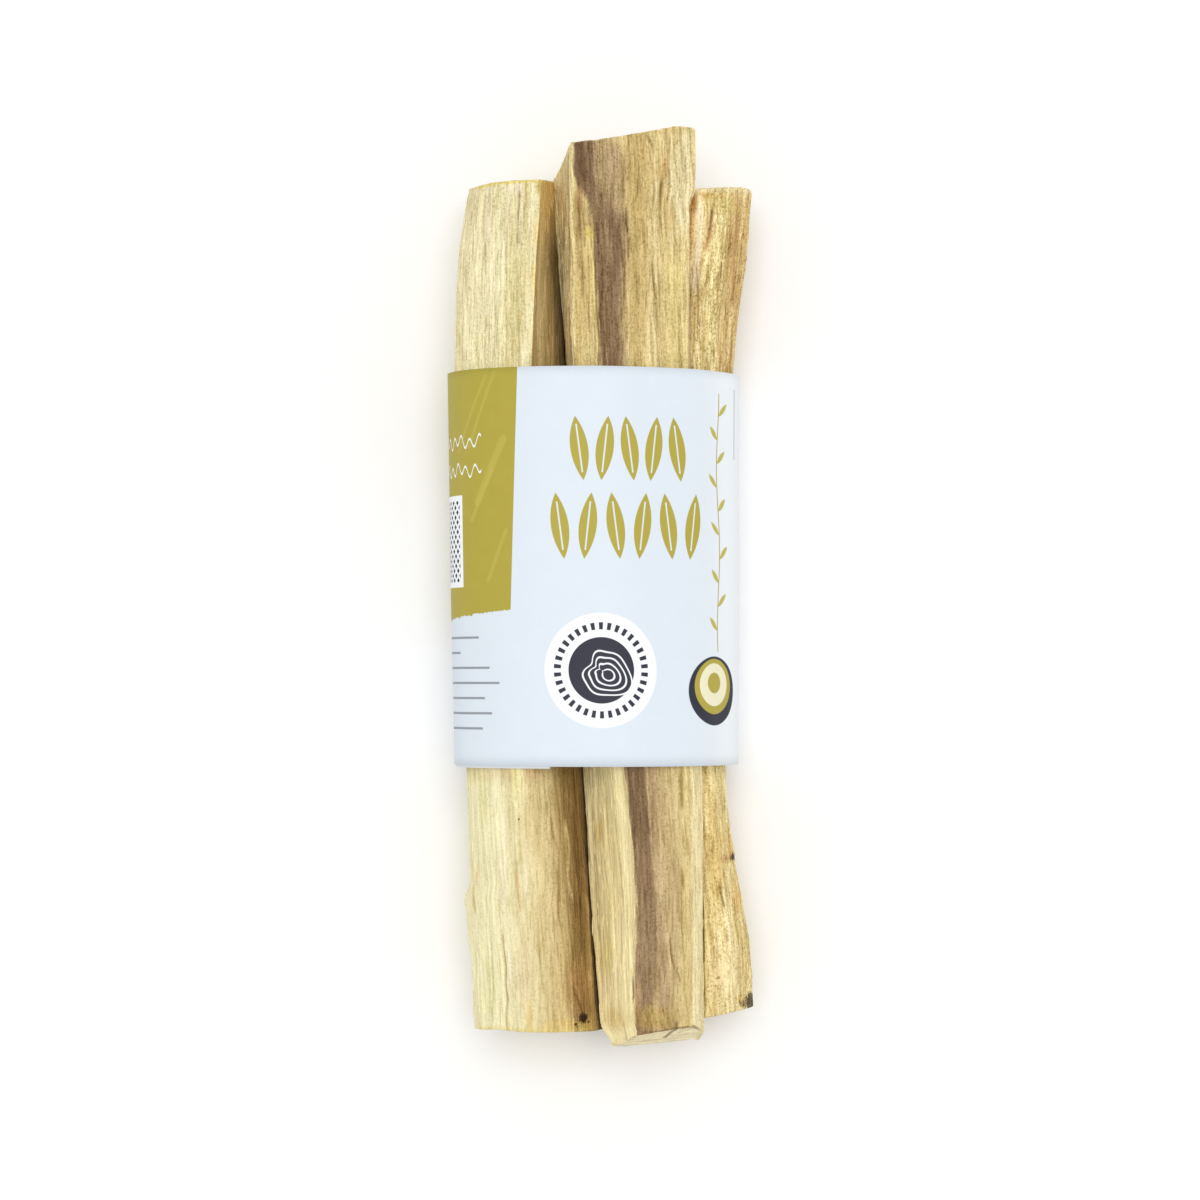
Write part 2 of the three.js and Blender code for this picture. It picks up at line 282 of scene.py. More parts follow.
class Stick:
    """The fine surface of one split stick: rings of points between its two saw cuts."""

    def __init__(self, node, plan):
        self.node = node
        self.seed = plan["seed"]
        self.plan = plan
        places, triangles = merged_solid(node)
        low = saw_plane(places, triangles, -1)
        high = saw_plane(places, triangles, 1)
        section = places[:, [0, 2]]
        bottom = plane_y(low, section)
        top = plane_y(high, section)
        along = (places[:, 1] - bottom) / (top - bottom)
        self.length = float(np.mean(top - bottom))
        levels = np.linspace(FIRST_LEVEL, 1 - FIRST_LEVEL, RINGS)
        cuts = [cut_outlines(places, triangles, along, level)[0] for level in levels]
        rough = np.stack([even_outline(cut, POINTS_ROUND) for cut in cuts])
        middle_y = low[0] + levels * (high[0] - low[0])
        smooth = stretched_back(self.rounded(rough, middle_y), rough)
        smooth[..., 0] -= self.lean_in(smooth, middle_y)
        depths = np.array(END_RING_DEPTHS) / self.length
        inner = np.linspace(depths[-1], 1 - depths[-1], RINGS + 2)[1:-1]
        self.levels = np.concatenate([depths, inner, 1 - depths[::-1]])
        self.sections = self.at_levels(smooth, levels)
        self.low = low
        self.high = high
        self.normals = outward(self.sections)
        spacing = np.linalg.norm(np.diff(self.sections, axis=1), axis=-1).mean()
        self.push_ways = blur_round(self.normals, 0.3 / spacing)
        self.inset_ways = blur_round(self.normals, 0.6 / spacing)
        centres = self.sections.mean(axis=1, keepdims=True)
        self.drift = centres - centres.mean(axis=0)
        self.refresh()

    def rounded(self, rough, y):
        """Sharp edges stay sharp above the planned y, and everything else is rounded."""
        spacing = np.linalg.norm(np.diff(rough, axis=1), axis=-1).mean()
        rough = blur_along(rough, LENGTHWISE_BLUR / (self.length / RINGS))
        fine = blur_round(rough, SHARP_BLUR / spacing)
        soft = blur_round(rough, self.plan["round_blur"] / spacing)
        bend = turning(fine, int(0.5 / spacing))
        sharp = ease(*SHARP_BEND, bend)
        sharp_above = self.plan["sharp_above"]
        sharp *= ease(sharp_above - 8, sharp_above, y)[:, None]
        sharp = np.clip(blur_round(blur_along(sharp, 2), 0.45 / spacing) * 1.6, 0, 1)[..., None]
        return soft + (fine - soft) * sharp

    def lean_in(self, sections, y):
        """How far the upper left wall reaches further left, to close the gap to its neighbour."""
        left = border(y, self.plan["lean_edge"])[:, None]
        near = fall(left, left + LEAN_WIDTH, sections[..., 0])
        return self.plan["lean"] * near * ease(*LEAN_HEIGHTS, sections[..., 1])

    def saw_y(self, upper, section):
        """Where one saw cut is: its plane, and how far it bows from it."""
        plane, bow = (self.high, self.plan["high_bow"]) if upper else (self.low, self.plan["low_bow"])
        x, z = np.moveaxis(section, -1, 0)
        y = plane_y(plane, section) + np.interp(x, *zip(*bow))
        if not upper:
            y = y + fall(*UNDER_BOW_HEIGHTS, z) * np.interp(x, *zip(*self.plan["under_bow"]))
        return y

    def at_levels(self, sections, levels):
        place = np.interp(self.levels, levels, np.arange(len(levels)))
        low = np.clip(np.floor(place).astype(int), 0, len(levels) - 2)
        share = (place - low)[:, None, None]
        return sections[low] * (1 - share) + sections[low + 1] * share

    def refresh(self):
        """Works out the places in space, and the same places straightened along the grain."""
        bottom = self.saw_y(False, self.sections)
        top = self.saw_y(True, self.sections)
        y = bottom + self.levels[:, None] * (top - bottom)
        self.places = np.stack([self.sections[..., 0], y, self.sections[..., 1]], axis=-1)
        self.places = np.clip(self.places, BOX_LOW, BOX_HIGH)
        self.grain = self.places.copy()
        self.grain[..., [0, 2]] -= self.drift

    def push(self, amount):
        """Moves the surface out by so many millimetres, in by negative amounts."""
        self.sections = self.sections + self.push_ways * amount[..., None]
        self.refresh()

    def round_ends(self):
        """Draws the last rings in along a quarter circle at each saw cut."""
        depth = np.minimum(self.levels, 1 - self.levels) * self.length
        radius = np.where(self.levels < 0.5, *self.plan["end_rounding"])
        inside = np.clip(1 - depth / radius, 0, 1)
        inset = radius * (1 - np.sqrt(1 - inside ** 2))
        self.sections = self.sections - self.inset_ways * inset[:, None, None]
        self.refresh()


# Surface of split wood

def split_relief(stick):
    """Ledges, ridges and fibres of split wood, in millimetres above or below the smooth form."""
    grain = stick.grain
    seed = stick.seed
    waver = 0.35 * soft_noise(grain, (6, 18, 6), seed + 40)
    bent = grain + np.stack([waver, np.zeros_like(waver), waver], axis=-1)
    broad = split_ledges(bent, (2.1, 46, 2.1), seed) - 0.5
    ledge = split_ledges(bent, (0.8, 21, 0.8), seed + 5) - 0.5
    strand = split_ledges(bent, (0.34, 8, 0.34), seed + 10) - 0.5
    ridge = soft_noise(bent, (0.5, 12, 0.5), seed + 15)
    fibre = soft_noise(bent, (0.2, 3.2, 0.2), seed + 20)
    torn = 0.6 + ease(0.1, 0.7, soft_noise(grain, (3.0, 14, 3.0), seed + 30))
    heights = stick.plan["relief"]
    parts = (broad, ledge, strand * torn, ridge)
    relief = blur_round(sum(height * part for height, part in zip(heights, parts)), 0.8)
    relief += heights[-1] * fibre * torn
    return relief - relief.mean()


def near_line(stick, run, width):
    """1 on a ragged line through the places in run, on the side that faces up."""
    places = stick.places
    y = places[..., 1]
    wander = 0.09 * soft_noise(places, (50, 1.9, 50), stick.seed + 60)
    thick = width * (1 + 0.5 * soft_noise(places, (50, 1.3, 50), stick.seed + 61))
    away = (places[..., 0] - border(y, run) - wander) / thick
    low, high = min(run[1::2]), max(run[1::2])
    ends = ease(low - 0.8, low + 0.5, y) * fall(high - 0.5, high + 0.8, y)
    return np.exp(-away ** 2) * ends * ease(-0.1, 0.25, stick.normals[..., 1])


def near_spot(stick, x, y, half_x, half_y):
    """1 inside a ragged patch round a place on the side that faces up."""
    away = np.hypot((stick.places[..., 0] - x) / half_x, (stick.places[..., 1] - y) / half_y)
    away += 0.22 * soft_noise(stick.grain, (0.35, 1.8, 0.35), stick.seed + 62)
    away += 0.22 * soft_noise(stick.grain, (1.2, 6, 1.2), stick.seed + 63)
    return fall(0.45, 1.25, away) * ease(-0.1, 0.25, stick.normals[..., 1])


def grain_strokes(stick):
    """Broad, middling, fine and short strokes along the grain, each from -1 to 1."""
    sizes = ((1.3, 30, 1.3), (0.6, 11, 0.6), (0.32, 5, 0.32), (0.24, 1.7, 0.24))
    return [soft_noise(stick.grain, size, stick.seed + 70 + index) for index, size in enumerate(sizes)]


# Meshes

def cut_face_points(outline):
    """Points for a flat saw cut: its outline and an even scatter inside it."""
    low = outline.min(axis=0)
    high = outline.max(axis=0)
    columns = np.arange(low[0], high[0], CUT_POINT_SPACING)
    rows = np.arange(low[1], high[1], CUT_POINT_SPACING)
    grid = np.stack(np.meshgrid(columns, rows, indexing="ij"), axis=-1)
    grid[::2, :, 1] += CUT_POINT_SPACING / 2
    grid = grid.reshape(-1, 2)
    gaps = np.linalg.norm(grid[:, None] - outline[None, ::4], axis=-1).min(axis=1)
    grid = grid[gaps > 0.6 * CUT_POINT_SPACING]
    after = np.roll(outline, -1, axis=0)
    x, z = grid[:, 0:1], grid[:, 1:2]
    spans = (outline[:, 1] > z) != (after[:, 1] > z)
    rise = np.where(after[:, 1] == outline[:, 1], 1, after[:, 1] - outline[:, 1])
    reach = outline[:, 0] + (z - outline[:, 1]) * (after[:, 0] - outline[:, 0]) / rise
    within = np.sum(spans & (x < reach), axis=1) % 2 == 1
    return grid[within]


def cut_face(outline, first, loose_first, faces_up):
    """Triangles that close a saw cut, and the loose points inside it."""
    inner = cut_face_points(outline)
    points = [tuple(point) for point in np.concatenate([outline, inner])]
    edges = [(index, (index + 1) % len(outline)) for index in range(len(outline))]
    placed, _, triangles, originals, _, _ = delaunay_2d_cdt(points, edges, [], 1, 1e-7)
    number = {}
    for index, sources in enumerate(originals):
        source = sources[0] if sources else None
        if source is None:
            raise RuntimeError("the saw cut's outline crosses itself")
        number[index] = first + source if source < len(outline) else loose_first + source - len(outline)
    faces = []
    for a, b, c in triangles:
        corners = [placed[a], placed[b], placed[c]]
        double_area = (corners[1] - corners[0]).cross(corners[2] - corners[0])
        anticlockwise = double_area > 0
        a, b, c = number[a], number[b], number[c]
        faces.append((a, b, c) if anticlockwise != faces_up else (a, c, b))
    return inner, faces


def stick_mesh(stick, cut_relief):
    """All points and faces of a stick. Its saw cuts are closed by fine flat faces."""
    rings, around = stick.places.shape[:2]
    here = np.arange(rings * around).reshape(rings, around)
    right = np.roll(here, -1, axis=1)
    faces = quads(here[:-1], here[1:], right[1:], right[:-1])
    places = [stick.places.reshape(-1, 3)]
    total = rings * around
    for ring, faces_up in ((0, False), (rings - 1, True)):
        outline = stick.sections[ring]
        inner, triangles = cut_face(outline, ring * around, total, faces_up)
        y = stick.saw_y(faces_up, inner)
        points = np.stack([inner[:, 0], y, inner[:, 1]], axis=-1)
        points[:, 1] -= (1 if faces_up else -1) * cut_relief(points)
        points = np.clip(points, BOX_LOW, BOX_HIGH)
        places.append(points)
        total += len(inner)
        faces.extend(triangles)
    return np.concatenate(places), faces


def new_mesh(name, places, faces, smooth=True):
    mesh = bpy.data.meshes.new(name)
    mesh.from_pydata((np.asarray(places) * MM).tolist(), [], faces)
    mesh.polygons.foreach_set("use_smooth", [smooth] * len(mesh.polygons))
    mesh.update()
    piece = bpy.data.objects.new(name, mesh)
    bpy.context.scene.collection.objects.link(piece)
    return piece


def add_layer(piece, name, kind, first, rest):
    """Stores a number, vector or colour for each point of a piece: its first points, then the rest."""
    width = 1 if kind == "FLOAT" else 3
    values = np.concatenate([np.reshape(part, (-1, width)) for part in (first, rest)])
    if kind == "FLOAT_COLOR":
        values = np.hstack([values, np.ones((len(values), 1))])
    field = {"FLOAT": "value", "FLOAT_VECTOR": "vector", "FLOAT_COLOR": "color"}[kind]
    layer = piece.data.attributes.new(name, kind, "POINT")
    layer.data.foreach_set(field, values.astype(np.float32).ravel())


def quads(*corners):
    """Four-sided faces, from four grids of point numbers."""
    return np.stack(corners, axis=-1).reshape(-1, 4).tolist()


# Colours and borders

def screen(colour):
    """A colour given in screen values of 0 to 255, as the renderer needs it."""
    share = np.array(colour) / 255
    return np.where(share <= 0.04045, share / 12.92, ((share + 0.055) / 1.055) ** 2.4)


def border(y, run):
    """Where a border is at each y. run holds the x and y of one place after another on it."""
    run = np.reshape(run, (-1, 2))
    order = np.argsort(run[:, 1])
    return np.interp(y, run[order, 1], run[order, 0])


# Node trees

def formula(operation, swapped=False):
    """A method of Wire that makes one math node from it and other values."""
    def joined(self, *others):
        values = (self, *others)
        return self.board.math(operation, *(values[::-1] if swapped else values))
    return joined


class Wire:
    """A number, vector or colour in a node tree, which formulas can use."""

    __add__ = formula("ADD")
    __radd__ = formula("ADD", swapped=True)
    __sub__ = formula("SUBTRACT")
    __rsub__ = formula("SUBTRACT", swapped=True)
    __mul__ = formula("MULTIPLY")
    __rmul__ = formula("MULTIPLY", swapped=True)
    __truediv__ = formula("DIVIDE")
    __abs__ = formula("ABSOLUTE")
    at_least = formula("MAXIMUM")
    at_most = formula("MINIMUM")
    under = formula("LESS_THAN")
    over = formula("GREATER_THAN")
    floor = formula("FLOOR")
    modulo = formula("FLOORED_MODULO")
    root = formula("SQRT")
    sine = formula("SINE")
    angle = formula("ARCTAN2")

    def __init__(self, board, socket):
        self.board = board
        self.socket = socket

    def ramp(self, low, high):
        """0 below low, 1 above high."""
        inputs = {"Value": self, "From Min": low, "From Max": high}
        return self.board.wire("ShaderNodeMapRange", inputs, interpolation_type="SMOOTHSTEP")

    def inked(self, softness=0.06):
        """1 inside a shape, where this tells how far inside it a place is."""
        return self.ramp(-softness / 2, softness / 2)

    def within(self, low, high):
        return (self - low).at_most(high - self).inked()

    def cell(self, first, pitch):
        """The number of the cell that this is in, and how far it is from that cell's middle."""
        number = ((self - first) / pitch).floor()
        return number, self - first - (number + 0.5) * pitch

    def scaled(self, factors, shift=(0, 0, 0)):
        inputs = {0: self, 1: factors, 2: shift}
        return self.board.wire("ShaderNodeVectorMath", inputs, operation="MULTIPLY_ADD")

    def noise(self, factors, detail, roughness, shift=(0, 0, 0)):
        place = self.scaled(factors, shift)
        inputs = {"Vector": place, "Scale": 1.0, "Detail": detail, "Roughness": roughness}
        return self.board.wire("ShaderNodeTexNoise", inputs, "Fac")

    def parts(self):
        """Its x, y and z."""
        made = self.board.node("ShaderNodeSeparateXYZ", {0: self})
        return [Wire(self.board, output) for output in made.outputs]

    def painted(self, mask, paint):
        """This colour, and another one where the mask is 1."""
        return self.board.wire("ShaderNodeMix", {0: mask, 6: self, 7: paint}, 2, data_type="RGBA")

    def brightened(self, factor):
        return self.board.wire("ShaderNodeVectorMath", {0: self, "Scale": factor}, operation="SCALE")


class Board:
    """Adds nodes to one tree."""

    def __init__(self, tree):
        self.tree = tree

    def feed(self, socket, value):
        if isinstance(value, Wire):
            value = value.socket
        if isinstance(value, bpy.types.NodeSocket):
            self.tree.links.new(value, socket)
        elif isinstance(value, np.ndarray):
            socket.default_value = (*value.tolist(), 1.0)[:len(socket.default_value)]
        else:
            socket.default_value = value

    def node(self, kind, inputs, **settings):
        made = self.tree.nodes.new(kind)
        for name, value in settings.items():
            setattr(made, name, value)
        for name, value in inputs.items():
            self.feed(made.inputs[name], value)
        return made

    def wire(self, kind, inputs, output=0, **settings):
        return Wire(self, self.node(kind, inputs, **settings).outputs[output])

    def math(self, operation, *values):
        return self.wire("ShaderNodeMath", dict(enumerate(values)), operation=operation)

    def attribute(self, name, output="Fac"):
        return self.wire("ShaderNodeAttribute", {}, output, attribute_name=name)

    def group(self, tree, inputs):
        made = self.node("ShaderNodeGroup", inputs, node_tree=tree)
        return {output.name: Wire(self, output) for output in made.outputs}


def length(x, y):
    return (x * x + y * y).root()


def new_tree(name, kind, inputs, outputs):
    """A tree with sockets only. inputs gives each one's kind, or the number that it starts with."""
    tree = bpy.data.node_groups.new(name, kind)
    for title, start in inputs.items():
        sort = start if isinstance(start, str) else "Float"
        socket = tree.interface.new_socket(name=title, in_out="INPUT", socket_type="NodeSocket" + sort)
        if sort != start:
            socket.default_value = start
    for title, sort in outputs.items():
        tree.interface.new_socket(name=title, in_out="OUTPUT", socket_type="NodeSocket" + sort)
    board = Board(tree)
    source = tree.nodes.new("NodeGroupInput")
    sink = tree.nodes.new("NodeGroupOutput")
    return board, {title: Wire(board, source.outputs[title]) for title in inputs}, sink


def grain_group():
    """Fine figure of wood split along its grain: bands, thin lines, specks, open pores and a height."""
    inputs = {"Place": "Vector", "Line Contrast": 0.3, "Speck Contrast": 0.2, "Pore Share": 0.5}
    outputs = {"Tone": "Float", "Pores": "Float", "Height": "Float"}
    board, given, sink = new_tree("split_grain", "ShaderNodeTree", inputs, outputs)
    place = given["Place"]
    bands = place.noise((0.7, 0.035, 0.7), 2, 0.5)
    strands = place.noise((1.9, 0.11, 1.9), 2, 0.6, (7, 3, 1))
    lines = place.noise((3.4, 0.24, 3.4), 3, 0.65, (2, 9, 4))
    hairs = place.noise((5.6, 0.8, 5.6), 1, 0.6, (3, 5, 2))
    specks = place.noise((4.6, 3.6, 4.6), 1, 0.7, (5, 1, 8))
    pores = place.noise((3.6, 0.9, 3.6), 2, 0.6, (1, 6, 3))
    drift = place.noise((0.9, 0.16, 0.9), 1, 0.5, (9, 9, 2))
    line_tone = lines.ramp(0.47, 0.39) * 0.18 - lines.ramp(0.51, 0.60) * 0.30
    line_tone = line_tone - hairs.ramp(0.54, 0.60) * 0.26 + (hairs - 0.5) * 0.6
    line_tone = line_tone + (bands - 0.5) * 0.5 + (strands - 0.5) * 0.9
    speck_tone = specks.ramp(0.45, 0.36) * 0.5 - specks.ramp(0.56, 0.64)
    tone = 1 + line_tone * given["Line Contrast"] + speck_tone * given["Speck Contrast"]
    pore_edge = 0.72 - given["Pore Share"] * 0.12 - drift * 0.1
    board.feed(sink.inputs["Tone"], tone)
    board.feed(sink.inputs["Pores"], pores.ramp(pore_edge, pore_edge + 0.10))
    board.feed(sink.inputs["Height"], lines * 0.7 + hairs * 0.5 + specks * 0.7)
    return board.tree


def knot_group():
    """A small round knot seen on Object coordinates, with a ragged edge."""
    inputs = {"Place": "Vector", "Centre": "Vector", "Width": 0.5, "Length": 0.7, "Height": 1.5}
    board, given, sink = new_tree("knot", "ShaderNodeTree", inputs, {"Mask": "Float"})
    offset = {0: given["Place"], 1: given["Centre"]}
    x, y, z = board.wire("ShaderNodeVectorMath", offset, operation="SUBTRACT").parts()
    ragged = given["Place"].noise((4.6, 3.8, 4.6), 2, 0.7) - 0.5
    reach = length(x / given["Width"], y / given["Length"]) + ragged * 2.0
    level = abs(z) / given["Height"] + ragged * 1.2
    board.feed(sink.inputs["Mask"], reach.ramp(1.15, 0.75) * level.ramp(1.25, 0.9))
    return board.tree


def stroke(u, v, start, end, width):
    """A straight stroke with round ends."""
    run = (end[0] - start[0], end[1] - start[1])
    share = ((u - start[0]) * run[0] + (v - start[1]) * run[1]) / (run[0] ** 2 + run[1] ** 2)
    share = share.at_least(0.0).at_most(1.0)
    return width / 2 - length(u - start[0] - share * run[0], v - start[1] - share * run[1])


def fibre_tree():
    """Short, thin fibres that stand a little off split wood, along its grain."""
    kinds = {
        "Wood": "Geometry", "Density": "Float", "Length": "Float", "Width": "Float", "Half Reach": "Float",
        "Seed": "Int", "Finish": "Material",
    }
    board, given, sink = new_tree("lifted_fibres", "GeometryNodeTree", kinds, {"Fibres": "Geometry"})
    seed = given["Seed"]
    x, _, _ = board.wire("GeometryNodeInputPosition", {}).parts()
    _, along, _ = board.wire("GeometryNodeInputNormal", {}).parts()
    room = board.wire("GeometryNodeInputNamedAttribute", {"Name": "room"}, data_type="FLOAT")
    chosen = abs(along).under(0.4) * abs(x).under(given["Half Reach"]) * room.over(given["Length"])
    inputs = {"Mesh": given["Wood"], "Selection": chosen, "Density": given["Density"], "Seed": seed}
    scattered = board.node("GeometryNodeDistributePointsOnFaces", inputs, distribute_method="RANDOM")
    sliver = board.wire("GeometryNodeMeshIcoSphere", {"Radius": 0.5, "Subdivisions": 1})
    inputs = {0: (0.6, 0.4, 0.5), 1: (1.5, 1.8, 1.4), "Seed": seed}
    spread = board.wire("FunctionNodeRandomValue", inputs, data_type="FLOAT_VECTOR")
    usual = board.wire("ShaderNodeCombineXYZ", {0: given["Width"], 1: given["Length"], 2: given["Width"]})
    size = board.wire("ShaderNodeVectorMath", {0: spread, 1: usual}, operation="MULTIPLY")
    inputs = {"Rotation": scattered.outputs["Rotation"], "Vector": (0, 1, 0)}
    turned = board.wire("FunctionNodeAlignRotationToVector", inputs, axis="Y", pivot_axis="Z")
    inputs = {0: (-0.05, -0.3, -0.09), 1: (0.05, 0.3, 0.09), "Seed": seed + 1}
    sway = board.wire("FunctionNodeRandomValue", inputs, data_type="FLOAT_VECTOR")
    inputs = {"Rotation": turned, "Rotate By": board.wire("FunctionNodeEulerToRotation", {0: sway})}
    turned = board.wire("FunctionNodeRotateRotation", inputs, rotation_space="LOCAL")
    inputs = {"Points": scattered.outputs["Points"], "Instance": sliver, "Rotation": turned, "Scale": size}
    placed = board.wire("GeometryNodeInstanceOnPoints", inputs)
    inputs = {2: -0.2, 3: 0.08, "Seed": seed + 2}
    shade = board.wire("FunctionNodeRandomValue", inputs, 1, data_type="FLOAT")
    inputs = {"Geometry": placed, "Name": "relief", "Value": shade}
    placed = board.wire("GeometryNodeStoreNamedAttribute", inputs, data_type="FLOAT", domain="INSTANCE")
    real = board.wire("GeometryNodeRealizeInstances", {"Geometry": placed})
    done = board.wire("GeometryNodeSetMaterial", {"Geometry": real, "Material": given["Finish"]})
    board.feed(sink.inputs["Fibres"], done)
    return board.tree


def add_fibres(wood, name, plan):
    """A piece of lifted fibres over the wood of one stick."""
    piece = bpy.data.objects.new(name + "_fibres", wood.data)
    bpy.context.scene.collection.objects.link(piece)
    modifier = piece.modifiers.new("lifted_fibres", "NODES")
    modifier.node_group = FIBRES
    sockets = {item.name: item.identifier for item in FIBRES.interface.items_tree if item.in_out == "INPUT"}
    values = {
        "Density": plan["fibres"] * 1e4, "Length": FIBRE_LENGTH * MM, "Width": FIBRE_WIDTH * MM,
        "Half Reach": float(BOX_HIGH[0] - 3 * FIBRE_WIDTH) * MM, "Seed": plan["seed"],
        "Finish": wood.data.materials[0],
    }
    for title, value in values.items():
        modifier[sockets[title]] = value
    made = piece.evaluated_get(bpy.context.evaluated_depsgraph_get())
    mesh = bpy.data.meshes.new_from_object(made)
    piece.modifiers.clear()
    piece.data = mesh
    mesh.name = piece.name
    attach(piece, "root")
    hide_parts(name)


def new_material(name):
    """A material without nodes, and the board that adds them."""
    material = bpy.data.materials.new(name)
    material.use_nodes = True
    material.node_tree.nodes.clear()
    return material, Board(material.node_tree)


def add_shader(board, inputs):
    """Ends a material in its shader."""
    shader = board.wire("ShaderNodeBsdfPrincipled", inputs)
    board.node("ShaderNodeOutputMaterial", {"Surface": shader})


def bumped(board, strength, distance, height):
    inputs = {"Strength": strength, "Distance": distance * MM, "Height": height}
    return board.wire("ShaderNodeBump", inputs)


def object_place(board):
    """Object coordinates in millimetres."""
    return board.wire("ShaderNodeTexCoord", {}, "Object").scaled((1 / MM, 1 / MM, 1 / MM))


def wood_material(name, plan):
    """Painted tint of the stick, broken up by fine grain, pores, relief, knots and saw scores."""
    material, board = new_material(name)
    look = plan["look"]
    coarse = 0.3 + 0.7 * board.attribute("coarse")
    given = {
        "Place": board.attribute("grain", "Vector"),
        "Line Contrast": look["lines"] * coarse,
        "Speck Contrast": look["specks"] * coarse,
        "Pore Share": look["pores"],
    }
    grain = board.group(GRAIN, given)
    # Tone, with painted shade in the hollows and painted light on the ridges of the relief; on the lifted
    # fibres the relief is a random tone
    tone = grain["Tone"] + board.attribute("relief") * look["painted_relief_shade"]
    colour = board.attribute("tint", "Color").brightened(tone)
    colour = colour.painted(tone.ramp(0.97, 0.72) * 0.9, colour.scaled(look["shade"]))
    colour = colour.painted(tone.ramp(1.03, 1.3) * 0.8, colour.scaled(look["pale"]))
    colour = colour.painted(grain["Pores"] * look["pore_depth"] * coarse, colour.scaled(look["pore"]))
    place = object_place(board)
    for centre, (wide, tall, deep), paint, strength in plan["knots"]:
        inputs = {"Place": place, "Centre": centre, "Width": wide, "Length": tall, "Height": deep}
        mask = board.group(KNOT, inputs)["Mask"] * strength
        colour = colour.painted(mask, Wire(board, screen(paint)).brightened(tone * 3 - 2))
    x, y, z = place.parts()
    for start, end, width, paint in plan["scores"]:
        line = stroke(x, z, start, end, width).inked(width) * y.ramp(-48.0, -48.6)
        colour = colour.painted(line * 0.8, screen(paint))
    inputs = {
        "Base Color": colour, "Roughness": 0.62 + grain["Height"] * 0.2, "Specular IOR Level": 0.25,
        "Normal": bumped(board, look["bump"], 0.1, grain["Height"]),
    }
    add_shader(board, inputs)
    return material


# Left stick

LEFT_GROOVE = (
    -5.2, 46.3, -4.8, 40.7, -4.2, 34.9, -3.8, 30.3, -3.5, 25, -1.8, -20, -0.4, -37, 0, -49,
)
LEFT_MARKS = (
    # x and y of one place after another, half width, depth, paint, strength
    # Marks with a negative depth are raised ridges; those beside a dark crack are painted pale as a painted
    # highlight
    ((-9.1, 44.5, -9.15, 43.9), 0.17, 0.14, (138, 92, 56), 0.9),
    ((-9.15, 43.5, -9.25, 42.2, -9.3, 41.2), 0.11, 0.12, (152, 118, 68), 0.9),
    ((-9.3, 40.6, -9.35, 39.2), 0.09, 0.08, (186, 156, 96), 0.8),
    ((-10.3, 43, -10.5, 40.4, -10.6, 38.3, -10.6, 37), 0.09, 0.06, (196, 168, 108), 0.7),
    ((-10.5, 36.7, -10.5, 35, -10.5, 30, -10.6, 25.5), 0.07, 0.05, (206, 186, 120), 0.6),
    ((-8.7, 45.4, -8.75, 43, -8.8, 38), 0.16, -0.04, (246, 236, 206), 0.5),
    ((-13.1, 39.4, -13.1, 37.4), 0.08, 0.05, (198, 184, 124), 0.7),
    ((-10.95, -38.8, -10.9, -40.4, -10.67, -42.4), 0.09, 0.12, (188, 160, 100), 0.75),
    ((-10.67, -42.4, -10.66, -44.4, -10.36, -45.9), 0.1, 0.14, (168, 138, 84), 0.8),
    ((-10.36, -45.9, -10.56, -47.9, -10.6, -50), 0.08, 0.12, (184, 156, 98), 0.75),
    ((-4.8, -31.3, -4.6, -33.3, -4.7, -36.5, -4.2, -38.1), 0.12, 0.14, (160, 130, 76), 0.75),
    ((-3.9, -26.6, -3.5, -29.2, -3.7, -32.2, -3.2, -34.6), 0.14, -0.08, (222, 198, 142), 0.7),
    ((-2.9, -25.2, -2.7, -27.2, -2.9, -29.2), 0.12, 0.12, (118, 88, 48), 0.75),
    ((-1.7, -28.7, -1.3, -31.1), 0.1, 0.1, (96, 70, 40), 0.7),
    ((-5.6, -25.3, -5.3, -27.7, -4.5, -29.5), 0.11, 0.08, (178, 148, 92), 0.7),
    ((-3, -44.6, -1.95, -47.2), 0.12, 0.1, (120, 84, 46), 0.7),
    ((-4.2, -38.6, -3.9, -42.5, -3.6, -47), 0.1, 0.07, (166, 136, 84), 0.6),
    ((-2.6, -31, -2.2, -35.5, -2.1, -40.5), 0.1, 0.09, (110, 82, 46), 0.65),
    ((-1.6, -35, -1.3, -39.5, -1.2, -44), 0.12, -0.06, (206, 178, 122), 0.6),
    ((-10.3, -40.2, -10.3, -44.5), 0.16, -0.04, (250, 240, 214), 0.5),
    ((-12.3, -39.6, -12.3, -42.6, -12.1, -43.7, -12.2, -48.4), 0.07, 0.06, (202, 188, 128), 0.6),
    ((-6.9, -39.5, -6.7, -42.5, -6.4, -44.8), 0.09, 0.06, (190, 168, 110), 0.6),
    ((-9.4, -31.4, -9.4, -33.2, -9.1, -34.4, -9, -35.6), 0.13, 0.05, (216, 168, 96), 0.6),
    ((-14, -31.4, -14.1, -33), 0.12, 0.05, (224, 178, 116), 0.6),
    ((-14.5, -33.9, -14.5, -35, -14.3, -36.3), 0.11, 0.16, (196, 166, 92), 0.7),
)
